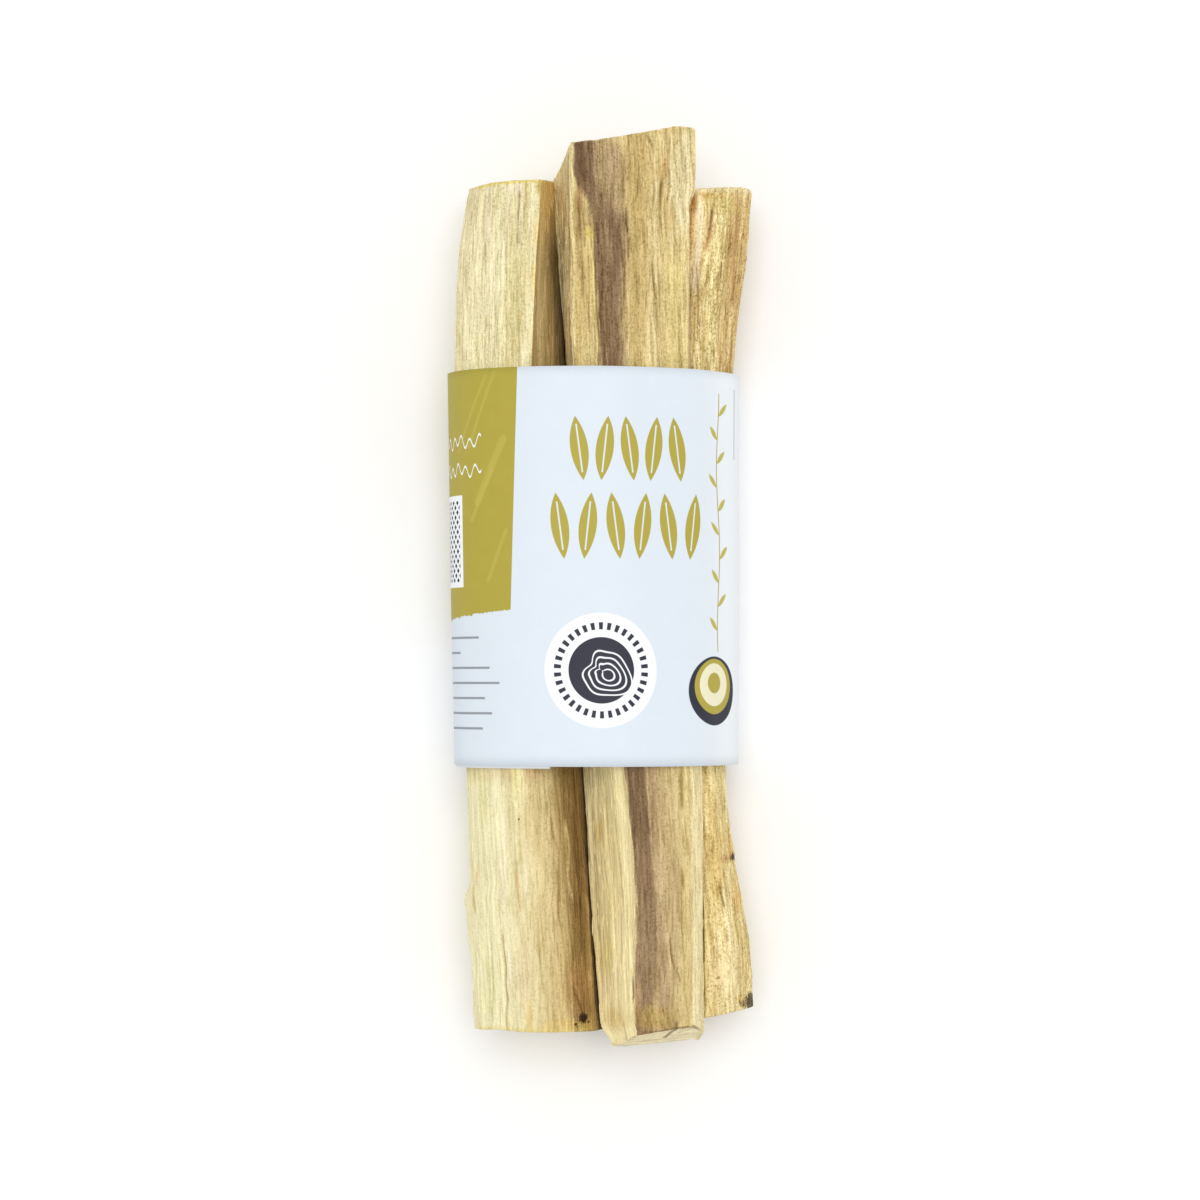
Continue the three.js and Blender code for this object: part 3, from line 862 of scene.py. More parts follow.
LEFT_SPOTS = (
    # x, y, half width, half length, paint, strength
    (-10.2, 30, 1.2, 16, (228, 216, 160), 0.4), (-12.6, 42, 0.7, 5, (240, 222, 190), 0.5),
    (-9.3, 45.2, 0.5, 0.9, (246, 226, 206), 0.6), (-7.45, 34.9, 0.4, 2.4, (242, 208, 126), 0.55),
    (-7.3, 39.8, 0.35, 2.6, (244, 212, 144), 0.6), (-6.9, 44.9, 0.5, 1, (196, 164, 66), 0.7),
    (-9, -20.6, 3.4, 1.6, (206, 172, 122), 0.55), (-2.6, -44.6, 1.8, 3.6, (184, 142, 88), 0.55),
    (-3.6, -48.9, 3.6, 1, (216, 190, 112), 0.6), (-7.8, -47.8, 0.45, 2, (224, 196, 118), 0.65),
    (-8.3, -42.5, 1.4, 4, (232, 208, 166), 0.5), (-6.6, -37, 1.2, 4, (218, 194, 140), 0.5),
    (-12.6, -45, 0.9, 2.6, (230, 228, 168), 0.4), (-11.6, -25, 0.9, 4.5, (248, 240, 192), 0.6),
    (-13.2, -24, 0.5, 3, (222, 216, 146), 0.5), (-8.9, -23, 0.8, 3.2, (248, 238, 186), 0.6),
    (-7.4, -26, 1.2, 5, (214, 192, 140), 0.5), (-9.4, -20.4, 0.7, 3.2, (240, 232, 168), 0.6),
    (-13.6, -20.8, 1.5, 1.2, (226, 204, 140), 0.4),
)


def paint_left(stick):
    x, y, z = np.moveaxis(stick.places, -1, 0)
    across, up = np.moveaxis(stick.normals, -1, 0)
    broad, middling, fine, short = grain_strokes(stick)
    low = fall(-20, -10, y)
    from_groove = border(y, LEFT_GROOVE) - x + 0.25 * middling
    tan = fall(1.6, 7.5, from_groove)
    patchy = from_groove + 2.0 * broad
    # Brown zone near the groove in the lower part, partly darker wood and partly painted shade
    brown = low * fall(2.4, 4.0, from_groove + 0.9 * broad + 0.4 * fine)
    side = ease(0.3, 0.7, across) * (z > 3) * (1 - low)
    high = ease(36, 45, y + 2 * middling)
    # Deep in the groove, where the side gets painted shade
    deep = fall(0.1, 2.2, from_groove) * fall(36, 45, y)
    coarse = 1 - 0.6 * low - 0.3 * side + 0.9 * low * tan
    layers = [
        ((226, 210, 156), 0.75 * ease(-0.2, 0.7, broad)),
        ((244, 234, 204), 0.6 * ease(0.0, 0.7, -middling)),
        ((214, 202, 146), 0.5 * ease(0.15, 0.7, fine)),
        ((206, 194, 140), 0.4 * ease(0.3, 0.8, short)),
        # Faces turned left: the steepest upper ones darker and yellower, and all of them painted lighter, a
        # painted light against their turn from the lamp
        ((204, 178, 116), 0.45 * (1 - low) * ease(0.6, 0.9, -across)),
        ((246, 238, 196), 0.6 * ease(0.15, 0.7, -across)),
        # Lower part: tan towards the groove, partly tan wood and partly painted shade, and paler far from it
        ((224, 202, 148), low * 0.85 * fall(5.0, 9.0, patchy)),
        ((240, 233, 186), low * 0.5 * ease(9.0, 11.0, patchy)),
        ((188, 162, 106), low * 0.9 * fall(2.5, 6.5, patchy)),
        # Near the groove in the lower part: brown, partly darker wood and partly painted shade
        ((148, 118, 68), 0.85 * brown),
        ((112, 84, 44), 0.7 * brown * ease(0.0, 0.6, fine)),
        # Painted light right at the gap, to lift the shade there
        ((196, 166, 110), 0.8 * low * fall(0.2, 1.3, from_groove)),
        # Painted shade low on the walls turned right, down in the groove
        ((104, 76, 46), low * ease(0.3, 0.7, across) * fall(9.5, 12.0, z)),
        # The side turned right, towards the middle stick: ochre, partly darker wood and partly painted shade,
        # lighter near the top
        ((190, 160, 98), side * (0.85 + 0.15 * broad)),
        ((232, 200, 128), side * high * 0.9),
        ((196, 150, 84), side * ease(30, 44, y) * 0.15 * ease(0.1, 0.6, middling)),
        # Painted shade deep in the groove
        ((76, 54, 28), side * deep * 0.92),
        ((220, 200, 150), ease(0.2, 0.8, -up) * 0.6),
    ]
    return (234, 223, 176), layers, coarse


# Middle stick

STREAK_LEFT = (
    -2.95, 49.9, -2.9, 46.6, -2.45, 45, -1.75, 44.2, -1.2, 43.2, -0.85, 41.8, -0.6, 40, -0.5, 37.1,
    -0.2, 32.3, 0, 28.9, 0.15, 25.9, 2.8, -19.9, 3.1, -23.8, 3.5, -25.9, 3.9, -30.5, 4.1, -34.6, 4, -39.3,
    3.85, -42.7, 3.95, -44.7, 4.1, -50,
)
STREAK_RIGHT = (
    -0.6, 49.9, -0.6, 46.3, -0.2, 44.9, 0.8, 43.7, 2.1, 42.7, 2.8, 41, 2.9, 39, 2.7, 35.5, 2.35, 31.2,
    2.3, 28.9, 2.4, 25.9, 4.8, -19.9, 5.1, -24.8, 5.4, -28.2, 5.7, -30.5, 6, -33.4, 6.1, -39.3, 5.9, -44,
    5.9, -50,
)
MIDDLE_MARKS = (
    # x and y of one place after another, half width, depth, paint, strength. Marks with a negative depth are
    # raised ridges; those beside a dark crack are painted pale as a painted highlight
    ((2.9, 42.4, 2.92, 41.3, 3, 40.3), 0.11, 0.2, (112, 84, 50), 0.9),
    ((3.1, 39.3, 3.15, 37.4), 0.14, 0.16, (138, 112, 66), 0.8),
    ((2.8, 36.4, 2.75, 33.2, 2.8, 27), 0.13, 0.08, (166, 142, 82), 0.65),
    ((7.25, 48.2, 7.15, 46.4), 0.2, 0.12, (214, 156, 92), 0.7),
    ((7.1, 46.3, 6.86, 44.9, 6.75, 43.8), 0.13, 0.25, (132, 104, 62), 0.85),
    ((6.75, 43.6, 6.72, 42.3, 6.9, 41), 0.09, 0.12, (164, 138, 84), 0.7),
    ((6.55, 46, 6.5, 44.2), 0.16, -0.06, (244, 228, 176), 0.6),
    ((5.8, 36.8, 5.95, 35.2, 6.2, 33.4), 0.1, 0.18, (150, 122, 72), 0.8),
    ((6.15, 36.4, 6.3, 34.4), 0.12, -0.05, (242, 226, 176), 0.5),
    ((5.3, 51.2, 5.7, 50.4, 6, 49.6), 0.14, 0.1, (150, 124, 72), 0.75),
    ((7.85, 50.9, 7.8, 49.7, 7.75, 48.8), 0.09, 0.1, (140, 116, 66), 0.75),
    ((2.95, 49.6, 2.7, 47.7, 2.6, 44.6), 0.13, 0.08, (156, 130, 78), 0.7),
    ((-3.6, 48.9, -3.65, 43.6, -3.55, 37.2, -3.45, 32.3, -3.5, 27), 0.1, 0.08, (150, 126, 80), 0.6),
    ((-3.15, 49.6, -3.2, 44.6, -3.1, 40.7, -3, 36.8, -2.95, 27), 0.2, -0.05, (240, 222, 166), 0.75),
    ((-2.1, 38, -2, 35.2, -2.1, 32.6), 0.09, 0.08, (170, 134, 84), 0.7),
    ((-1.35, 37, -1.2, 33, -1.2, 29.5), 0.09, 0.07, (180, 148, 92), 0.65),
    ((-0.75, 36.6, -0.6, 32, -0.45, 27), 0.13, -0.05, (236, 218, 150), 0.6),
    ((-4.1, 47.6, -4.3, 43.6, -4.4, 38), 0.12, -0.05, (226, 202, 146), 0.6),
    ((-2.5, 43.2, -2.3, 41.5, -2.35, 39.8), 0.16, 0.1, (128, 100, 62), 0.7),
    ((-0.75, 38.9, -0.6, 36.4, -0.35, 32, -0.1, 28), 0.1, 0.08, (120, 94, 64), 0.7),
    ((9.1, 48.1, 9.6, 47.9), 0.12, 0.1, (186, 164, 116), 0.6),
    ((9.4, 47.3, 9.9, 47.2), 0.12, 0.1, (180, 158, 112), 0.6),
    ((9.2, -20, 9.15, -22, 9.2, -24.3), 0.22, 0.1, (172, 146, 90), 0.75),
    ((9.5, -25.6, 9.65, -27.5, 9.6, -29.6), 0.12, 0.08, (186, 160, 104), 0.6),
    ((9.35, -31.6, 9.25, -33.2), 0.24, 0.12, (160, 134, 80), 0.75),
    ((9.1, -33.6, 9.1, -37.6), 0.16, 0.06, (184, 158, 102), 0.6),
    ((7.8, -39, 7.9, -40.4, 8.2, -41.9, 8.8, -43, 9, -43.6), 0.11, 0.25, (150, 124, 80), 0.85),
    ((7.5, -38.6, 7.6, -40.6, 7.85, -42), 0.13, -0.06, (236, 216, 164), 0.6),
    ((9.1, -37.6, 9.3, -38.9), 0.1, 0.1, (176, 150, 96), 0.7),
    ((5, 39, 4.9, 34, 5, 28), 0.12, 0.05, (184, 158, 96), 0.5),
    ((8.4, 43, 8.3, 36, 8.4, 29), 0.1, 0.05, (196, 170, 106), 0.5),
    ((0.6, -22, 0.8, -30), 0.1, 0.05, (196, 170, 110), 0.5),
    ((2.2, -31, 2.3, -37, 2.3, -42), 0.12, 0.05, (200, 176, 118), 0.5),
)
MIDDLE_SPOTS = (
    (-2.2, 40.9, 0.8, 2.4, (176, 146, 90), 0.65), (1.1, 35, 1.1, 6, (118, 90, 64), 0.22),
    (-4.1, 47.6, 0.8, 2.6, (192, 168, 118), 0.55), (-2.35, 43.5, 0.5, 1.2, (168, 122, 78), 0.75),
    (-2.2, 45.6, 0.5, 1.2, (120, 92, 62), 0.6), (-1, 41.4, 0.6, 1.8, (152, 124, 86), 0.6),
    (9.6, 44, 0.9, 4.5, (238, 222, 176), 0.6), (-1.3, 39.7, 0.5, 0.7, (226, 208, 92), 0.9),
    (1.2, 46.4, 1.9, 4.6, (174, 148, 112), 0.75), (4.6, 46.5, 1.7, 5, (196, 170, 108), 0.5),
    (9.2, 46.5, 1.6, 5.8, (244, 230, 184), 0.85), (8.6, 30, 1.6, 9, (222, 202, 134), 0.6),
    (4.2, 36, 1.6, 12, (200, 174, 112), 0.6), (-1.4, 34, 0.9, 8, (206, 180, 116), 0.5),
    (-3.9, 33, 0.5, 10, (222, 196, 150), 0.5), (7.6, -30, 1.6, 12, (204, 180, 132), 0.55),
    (0.6, -32, 1.6, 12, (230, 212, 152), 0.6), (-0.2, -27.5, 0.6, 1.6, (216, 188, 110), 0.6),
    (0.8, -41, 0.9, 2.5, (234, 216, 138), 0.6), (4.3, -45.6, 0.35, 2.2, (200, 162, 114), 0.5),
    (6.5, -47.8, 3, 1.4, (188, 160, 94), 0.75), (1.8, -48.4, 1.4, 1.6, (220, 190, 120), 0.6),
)


def paint_middle(stick):
    x, y, z = np.moveaxis(stick.places, -1, 0)
    across, up = np.moveaxis(stick.normals, -1, 0)
    facing_up = ease(0.35, 0.6, up)
    broad, middling, fine, short = grain_strokes(stick)
    low = fall(-20, -10, y)
    left_side = ease(0.4, 0.75, -across)
    hidden = (1 - low) * fall(36, 45, y + 3 * middling) * ease(10.5, 13.5, z + 0.8 * broad)
    bevel = low * ease(-0.2, 0.15, x - border(y, (10.1, -19, 10.2, -26, 10.4, -35, 10.35, -49)))
    start = border(y, STREAK_LEFT)
    end = border(y, STREAK_RIGHT)
    ragged = x + 0.2 * fine + 0.25 * short
    left_edge = ease(-0.3, 0.1, ragged - start)
    right_edge = fall(-0.45, 0.35, ragged + 0.4 * middling - end)
    core = left_edge * right_edge * facing_up
    spread = 0.9 + 3.2 * low + 2.6 * ease(41, 44.5, y)
    fade = left_edge * fall(0, 1, (ragged - end + 0.5 * broad) / spread) * facing_up
    darkest = ease(44, 47, y) * fall(-1.4, -0.4, x) + low * ease(-31, -26, y) * 0.7
    coarse = 1.1 - 0.4 * low - 0.6 * low * left_side + 0.4 * fade
    layers = [
        ((202, 176, 114), 0.7 * ease(-0.1, 0.7, broad)),
        ((236, 219, 166), 0.6 * ease(0.1, 0.7, -broad)),
        ((190, 160, 100), 0.5 * ease(0.2, 0.75, middling)),
        ((186, 158, 98), 0.45 * ease(0.2, 0.75, fine)),
        ((240, 224, 172), 0.4 * ease(0.3, 0.8, -fine)),
        ((176, 148, 92), 0.4 * ease(0.35, 0.8, short)),
        # Faces turned left painted pale, partly paler wood and partly painted light against their turn from
        # the lamp
        ((255, 240, 186), left_side * (0.7 + 0.25 * low)),
        # Painted light: walls turned right painted near white, to lift the shade of the gap to the right
        # stick
        ((255, 244, 205), 0.7 * ease(0.6, 0.85, across)),
        ((190, 144, 88), 0.6 * hidden * ease(0.75, 0.9, across)),
        # Painted shade low on the left wall, down in the groove
        ((124, 96, 60), left_side * fall(8.0, 10.5, z)),
        ((242, 226, 176), bevel * 0.85),
        ((180, 153, 116), fade * (0.7 + 0.2 * low + 0.25 * middling)),
        ((134, 106, 77), core * np.clip(0.86 + 0.2 * fine + 0.14 * middling, 0, 1)),
        ((112, 86, 60), core * ease(0.3, 0.8, middling) * 0.35),
        ((172, 146, 110), core * fall(-40, -31, y) * 0.45),
        ((108, 82, 56), core * np.clip(darkest, 0, 1) * 0.8),
        ((164, 138, 106), core * ease(0.2, 0.8, -fine) * 0.45),
    ]
    return (224, 202, 142), layers, coarse


# Right stick

RIGHT_MARKS = (
    # x and y of one place after another, half width, depth, paint, strength. Marks with a negative depth are
    # raised ridges; those beside a dark crack are painted pale as a painted highlight
    ((10.7, 44.6, 10.25, 43.6, 10, 42, 9.95, 38, 9.95, 31, 10.05, 25), 0.16, 0, (198, 138, 72), 0.85),
    ((12.7, 43.4, 12.55, 42, 12.35, 40.7), 0.15, 0.3, (150, 92, 48), 0.9),
    ((12.35, 40.8, 12.2, 39.9, 12, 39), 0.17, 0.25, (186, 122, 56), 0.85),
    ((12.95, 43, 12.75, 40.5), 0.12, -0.04, (240, 222, 176), 0.6),
    ((11.35, 44.9, 11.3, 42, 11.15, 38.7, 10.8, 34), 0.36, -0.08, (244, 230, 198), 0.95),
    ((15.9, 43, 15.7, 40.4, 15.5, 37.1, 15.3, 33.1), 0.2, 0.12, (176, 132, 78), 0.75),
    ((14.9, 42.4, 14.7, 38, 14.4, 31), 0.11, 0.1, (196, 160, 98), 0.6),
    ((13.9, 40, 13.7, 35, 13.5, 27), 0.12, 0.08, (200, 166, 104), 0.6),
    ((11, 37.1, 11.1, 34.8, 11.2, 32.2, 11.1, 30.6), 0.1, 0.14, (140, 100, 54), 0.7),
    ((13.65, -33.4, 13.8, -34.6, 14.15, -35.8), 0.12, 0.2, (130, 104, 60), 0.85),
    ((12.8, -28.9, 12.8, -29.5), 0.12, 0.1, (130, 100, 60), 0.85),
    ((12.6, -36.2, 12.6, -37.8), 0.16, -0.06, (248, 236, 176), 0.8),
    ((14.6, -37.4, 14.8, -40.6), 0.14, -0.05, (246, 230, 196), 0.7),
)
RIGHT_SPOTS = (
    (10.7, 43.7, 0.34, 1.5, (186, 130, 62), 0.8), (12.4, 45.05, 2.9, 0.28, (216, 170, 96), 0.55),
    (12, 45.75, 2.9, 0.42, (222, 208, 166), 0.85), (10.3, 42, 0.4, 5, (218, 176, 112), 0.7),
    (15.4, 38, 0.9, 8, (206, 170, 110), 0.5), (12.3, 45, 0.8, 0.5, (196, 164, 84), 0.5),
    (14.2, 43.6, 1.8, 1.2, (206, 186, 110), 0.5), (13.2, -30, 1.2, 5, (212, 182, 110), 0.6),
    (15, -29.2, 0.5, 2, (222, 178, 100), 0.6), (15.7, -34, 0.5, 2.6, (224, 182, 106), 0.6),
    (14.4, -30.4, 0.9, 0.5, (168, 122, 66), 0.7), (14, -44, 2, 4, (234, 216, 168), 0.6),
)


def paint_right(stick):
    x, y, z = np.moveaxis(stick.places, -1, 0)
    across = stick.normals[..., 0]
    broad, middling, fine, short = grain_strokes(stick)
    upper = ease(10, 24, y)
    strip = upper * fall(0.3, 0.8, np.abs(x - 11.15)) * ease(30, 36, y)
    coarse = 0.68 + 0.27 * upper - 0.5 * strip
    layers = [
        ((218, 192, 128), 0.5 * ease(-0.1, 0.7, broad)),
        ((200, 170, 106), 0.45 * ease(0.15, 0.7, middling)),
        ((190, 158, 90), 0.5 * ease(0.15, 0.7, fine)),
        ((246, 230, 180), 0.55 * ease(0.15, 0.7, -fine)),
        ((168, 130, 72), 0.5 * ease(0.25, 0.7, short)),
        ((250, 238, 194), 0.45 * ease(0.3, 0.8, -short)),
        # Upper faces turned right: darker and more orange, partly orange wood and partly painted shade
        ((212, 172, 112), upper * 0.5 * ease(0.3, 0.9, across + 0.2 * fine)),
        ((222, 200, 146), 0.22 * (1 - upper)),
    ]
    return (250, 235, 176), layers, coarse


# Assembly of the sticks

STICKS = {
    "stick_left": {
        "seed": 11, "sharp_above": -8, "round_blur": 1.7, "lean": 0, "lean_edge": (0, 0), "slot": "pale_wood",
        "end_rounding": (0.14, 0.2), "fibres": 60, "scores": (),
        "low_bow": ((-14.2, 0.3), (-11.4, 0.44), (-8.7, 0.18), (-3.2, 0.06), (-0.3, -0.15)),
        "under_bow": ((0, 0),),
        "high_bow": ((-14.6, 0), (-12.2, 0.33), (-9.5, 0.32), (-6.8, 0.2), (-5.2, 0.05)),
        "relief": (0.12, 0.09, 0.07, 0.03, 0.024),
        "paint": paint_left, "marks": LEFT_MARKS, "spots": LEFT_SPOTS,
        "look": {
            "lines": 0.6, "specks": 0.17, "pores": 0.3, "pore_depth": 0.5, "painted_relief_shade": 0.45, "bump": 0.7,
            "shade": (1, 0.95, 0.77), "pale": (1.02, 1.03, 1.1), "pore": (0.76, 0.67, 0.46),
        },
        "knots": (
            ((-1.9, -48.2, 12), (0.5, 0.6, 3.5), (54, 26, 14), 0.97),
            ((-1.3, -48.75, 12), (0.2, 0.16, 3.5), (104, 62, 38), 0.85),
            ((-2.75, -48.8, 13), (0.2, 0.15, 3.5), (118, 78, 46), 0.8),
            ((-9.1, -25.7, 17), (0.13, 0.14, 3), (120, 80, 50), 0.85),
        ),
        "rims": ((0.42, (228, 208, 118), 0.85), (0.5, (228, 206, 130), 0.55)),
        "end": (232, 214, 150),
    },
    "stick_middle": {
        "seed": 23, "sharp_above": -80, "round_blur": 1.1, "lean": 0.26, "slot": "streaked_wood",
        "lean_edge": (5.2, -50, 4.9, -20, 4.4, 3, 3.7, 25, 3.9, 50),
        "end_rounding": (0.1, 0.16), "fibres": 70,
        "scores": (
            ((8.9, 18.4), (7.3, 12.2), 0.45, (104, 80, 44)), ((2.6, 16.6), (5.4, 14), 0.3, (196, 178, 130)),
            ((4.8, 12.6), (6.6, 11.4), 0.3, (200, 182, 136)),
            ((8.8, 13.6), (10.6, 14.4), 0.3, (198, 180, 132)),
        ),
        "low_bow": ((0, 0), (10.4, 0), (11.3, -0.3)),
        "under_bow": ((0.8, 0.37), (3.6, 0.34), (6.3, 0), (9.1, -0.3), (11.3, -0.4)),
        "high_bow": (
            (-4.2, 0), (-2.9, -0.12), (2.1, -0.15), (3.4, -0.08), (6.1, 0.06), (8.7, 0.28), (10, 0.21),
            (10.5, -0.05), (10.9, -0.5),
        ),
        "relief": (0.14, 0.12, 0.09, 0.04, 0.034),
        "paint": paint_middle, "marks": MIDDLE_MARKS, "spots": MIDDLE_SPOTS,
        "look": {
            "lines": 0.62, "specks": 0.19, "pores": 0.5, "pore_depth": 0.6, "painted_relief_shade": 0.5, "bump": 0.9,
            "shade": (1, 0.94, 0.77), "pale": (1.03, 1.04, 1.12), "pore": (0.7, 0.6, 0.43),
        },
        "knots": (),
        "rims": ((0.14, (226, 204, 146), 0.5), (0.2, (146, 118, 70), 0.75)),
        "end": (238, 224, 182),
    },
    "stick_right": {
        "seed": 37, "sharp_above": -80, "round_blur": 0.9, "lean": 0.5, "slot": "golden_wood",
        "lean_edge": (12.1, -50, 12.1, -41, 11.8, -29, 11.4, -20, 10.2, 25, 10.5, 46),
        "end_rounding": (0.2, 0.5), "fibres": 90, "scores": (),
        "low_bow": ((0, 0), (18, 0)),
        "under_bow": ((0, 0),),
        "high_bow": ((0, 0), (16.4, 0), (17.6, -0.35)),
        "relief": (0.15, 0.13, 0.11, 0.05, 0.045),
        "paint": paint_right, "marks": RIGHT_MARKS, "spots": RIGHT_SPOTS,
        "look": {
            "lines": 0.74, "specks": 0.33, "pores": 0.7, "pore_depth": 0.7, "painted_relief_shade": 0.5, "bump": 1,
            "shade": (1, 0.91, 0.64), "pale": (1.03, 1.03, 1.1), "pore": (0.66, 0.54, 0.36),
        },
        "knots": (
            ((15.3, -30.4, 9.8), (0.45, 0.42, 1.6), (84, 52, 32), 0.9),
            ((17.1, -46.75, 10), (0.6, 0.95, 1.9), (84, 66, 50), 0.92),
            ((16.2, -46.9, 11), (0.5, 0.4, 1.9), (128, 104, 66), 0.8),
            ((15.75, -46.4, 11.5), (0.42, 0.45, 1.9), (190, 160, 84), 0.6),
            ((13.4, -43.9, 12), (0.18, 0.2, 1.5), (150, 124, 74), 0.7),
        ),
        "rims": ((0.55, (238, 222, 176), 0.8), (0.2, (236, 222, 180), 0.6)),
        "end": (238, 218, 160),
    },
}


def saw_marks(seed):
    """Relief of a sawn end: faint saw marks and open pores, in millimetres."""
    def depth(points):
        flat = points * np.array([1, 0, 1])
        marks = soft_noise(flat @ np.array([[0.8, 0, 0.6], [0, 1, 0], [-0.6, 0, 0.8]]), (9, 50, 0.45), seed)
        return 0.05 * marks + 0.04 * soft_noise(flat, (0.5, 50, 0.5), seed + 1)
    return depth


def make_stick(name, plan):
    stick = Stick(name, plan)
    relief = split_relief(stick)
    details = []
    for *spot, paint, strength in plan["spots"]:
        details.append((paint, strength * near_spot(stick, *spot)))
    for run, width, depth, paint, strength in plan["marks"]:
        line = near_line(stick, run, width)
        relief -= depth * line
        details.append((paint, strength * line))
    stick.push(relief - SURFACE_DROP)
    stick.round_ends()
    base, layers, coarse = plan["paint"](stick)
    ragged = 0.12 * soft_noise(stick.grain, (0.4, 50, 0.4), plan["seed"] + 81)
    for depth, (reach, paint, strength) in zip((1 - stick.levels, stick.levels), plan["rims"]):
        near = fall(reach * 0.7, reach, depth[:, None] * stick.length + ragged)
        details.append((paint, near * ease(0.3, 0.6, stick.normals[..., 1]) * strength))
    tint = screen(base)
    for paint, mask in layers + details:
        tint = tint + (screen(paint) - tint) * mask[..., None]
    places, faces = stick_mesh(stick, saw_marks(plan["seed"]))
    piece = new_mesh(name + "_wood", places, faces)
    inner = places[relief.size:]
    zeros = np.zeros(len(inner))
    rings = np.hypot(inner[:, 0] - PITH[0], inner[:, 2] - PITH[1])[:, None] * np.array([1, 0, 0])
    end_noise = 0.6 * soft_noise(inner, (0.6, 50, 0.6), plan["seed"] + 80)
    end_noise += 0.8 * soft_noise(inner, (2.6, 50, 1.1), plan["seed"])
    end_noise += 1.2 * soft_noise(rings, (0.9, 1, 1), 7)
    end_tint = screen(plan["end"]) * (1 + 0.12 * end_noise[:, None])
    # Fine relief for the shader, which paints shade in its hollows and light on its ridges from it
    height = np.clip(relief - blur_round(relief, 12), -RELIEF_LIMIT, RELIEF_LIMIT)
    room = np.minimum(stick.levels, 1 - stick.levels)[:, None] * stick.length * MM
    add_layer(piece, "tint", "FLOAT_COLOR", tint, end_tint)
    add_layer(piece, "grain", "FLOAT_VECTOR", stick.grain, inner)
    add_layer(piece, "relief", "FLOAT", height, zeros)
    add_layer(piece, "coarse", "FLOAT", coarse, zeros + END_COARSE)
    add_layer(piece, "room", "FLOAT", np.broadcast_to(room, relief.shape), zeros)
    piece.data.materials.append(wood_material(name + "_split_wood", plan))
    add_fibres(piece, name, plan)
    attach(piece, "root")
    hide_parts(name)


# Print on the band. Places on the sheet are u, across, and v, up, in millimetres; u is 0 at the
# highest line of the band and grows to the right. Shapes give how far inside them a place is.

PAPER = screen((221, 230, 238))
BRIGHT_WHITE = screen((244, 247, 248))
OLIVE = screen((172, 158, 58))
LIGHT_OLIVE = screen((192, 180, 84))
GOLD_OLIVE = screen((178, 164, 66))
NAVY = screen((48, 48, 62))
RULE_GREY = screen((120, 124, 130))
CREAM = screen((238, 234, 200))

LEAF_ROWS = (
    # left end, right end, middle, height and number of leaves
    (-3.6, 10.0, 15.65, 7.2, 5),
    (-6.0, 11.7, 7.0, 7.4, 6),
)
SEAL_CENTRE = (0.0, -9.1)
PANEL_STROKES = (
    (-15.8, 15.6, -12.6, 24.0, 0.30), (-14.6, 16.0, -11.6, 24.4, 0.35), (-13.7, 9.8, -10.7, 16.8, 0.85),
    (-14.4, 7.8, -12.0, 13.4, 0.45), (-12.6, 1.0, -10.5, 6.6, 0.40),
)
RULE_ENDS = (-13.8, -16.0, -12.6, -11.5, -13.2, -12.4, -13.5)
BRANCH_RINGS = ((1.0, 0.0, NAVY), (0.8, 0.5, GOLD_OLIVE), (0.62, 0.7, CREAM), (0.3, 0.9, GOLD_OLIVE))


def leaf(u, v, width, height):
    """An upright leaf, pointed at both ends."""
    bow = (height ** 2 - width ** 2) / (4 * width)
    return width / 2 + bow - length(abs(u) + bow, v)


def leaf_row(u, v, row, at):
    """A row of leaves that lean left and right by turns, each with a bare midrib."""
    left, right, middle, tall, count = row
    number, local = u.cell(at(left), (at(right) - at(left)) / count)
    lean = number.modulo(2.0) * 0.24 - 0.12
    height = v - middle
    local = local - lean * height
    rib = (0.09 - abs(local)).inked() * (2.7 - abs(height)).inked()
    return leaf(local, height, 2.0, tall).inked() * (1 - rib) * u.within(at(left), at(right))


def seal(u, v, colour):
    """A white disc with a ring of short dashes round a dark slice of a tree with its growth rings."""
    u = u - SEAL_CENTRE[0]
    v = v - SEAL_CENTRE[1]
    reach = length(u, v)
    colour = colour.painted((6.4 - reach).inked(0.2), BRIGHT_WHITE)
    colour = colour.painted((3.7 - reach).inked(), NAVY)
    turn = v.angle(u)
    _, side = turn.cell(0.0, math.pi / 17)
    dash = (0.22 - abs(side) * 4.9).inked() * reach.within(4.55, 5.35)
    waver = (turn * 3.0).sine() * 0.10 + (turn * 5.0 + 1.3).sine() * 0.06
    reach = length(u - 0.7, v + 0.5) * (1 + waver)
    _, off = reach.cell(0.35, 0.62)
    rings = (0.09 - abs(off)).inked() * reach.within(0.3, 2.75)
    return colour.painted(rings, BRIGHT_WHITE).painted(dash, NAVY)


def sprig(u, v, at, colour):
    """A slender stem with small leaves over a cut branch end, down the right side."""
    local = u - at(13.4) - (v * 0.35).sine() * 0.25
    stem = (0.08 - abs(local)).inked() * v.within(-7.0, 22.3)
    number, height = v.cell(-5.2, 2.7)
    out = local * (number.modulo(2.0) * 2 - 1) - 0.75
    blade = leaf(out * 0.72 - height * 0.69, out * 0.69 + height * 0.72, 0.62, 2.1).inked()
    colour = colour.painted(stem, GOLD_OLIVE).painted(blade * v.within(-5.2, 21.8), LIGHT_OLIVE)
    across = (at(15.2) - at(9.8)) / 2
    centre = (at(15.2) + at(9.8)) / 2
    for share, lift, paint in BRANCH_RINGS:
        reach = length((u - centre) / (across * share), (v + 11.4 - lift) / (3.9 * share))
        colour = colour.painted((1 - reach).inked(0.03), paint)
    return colour


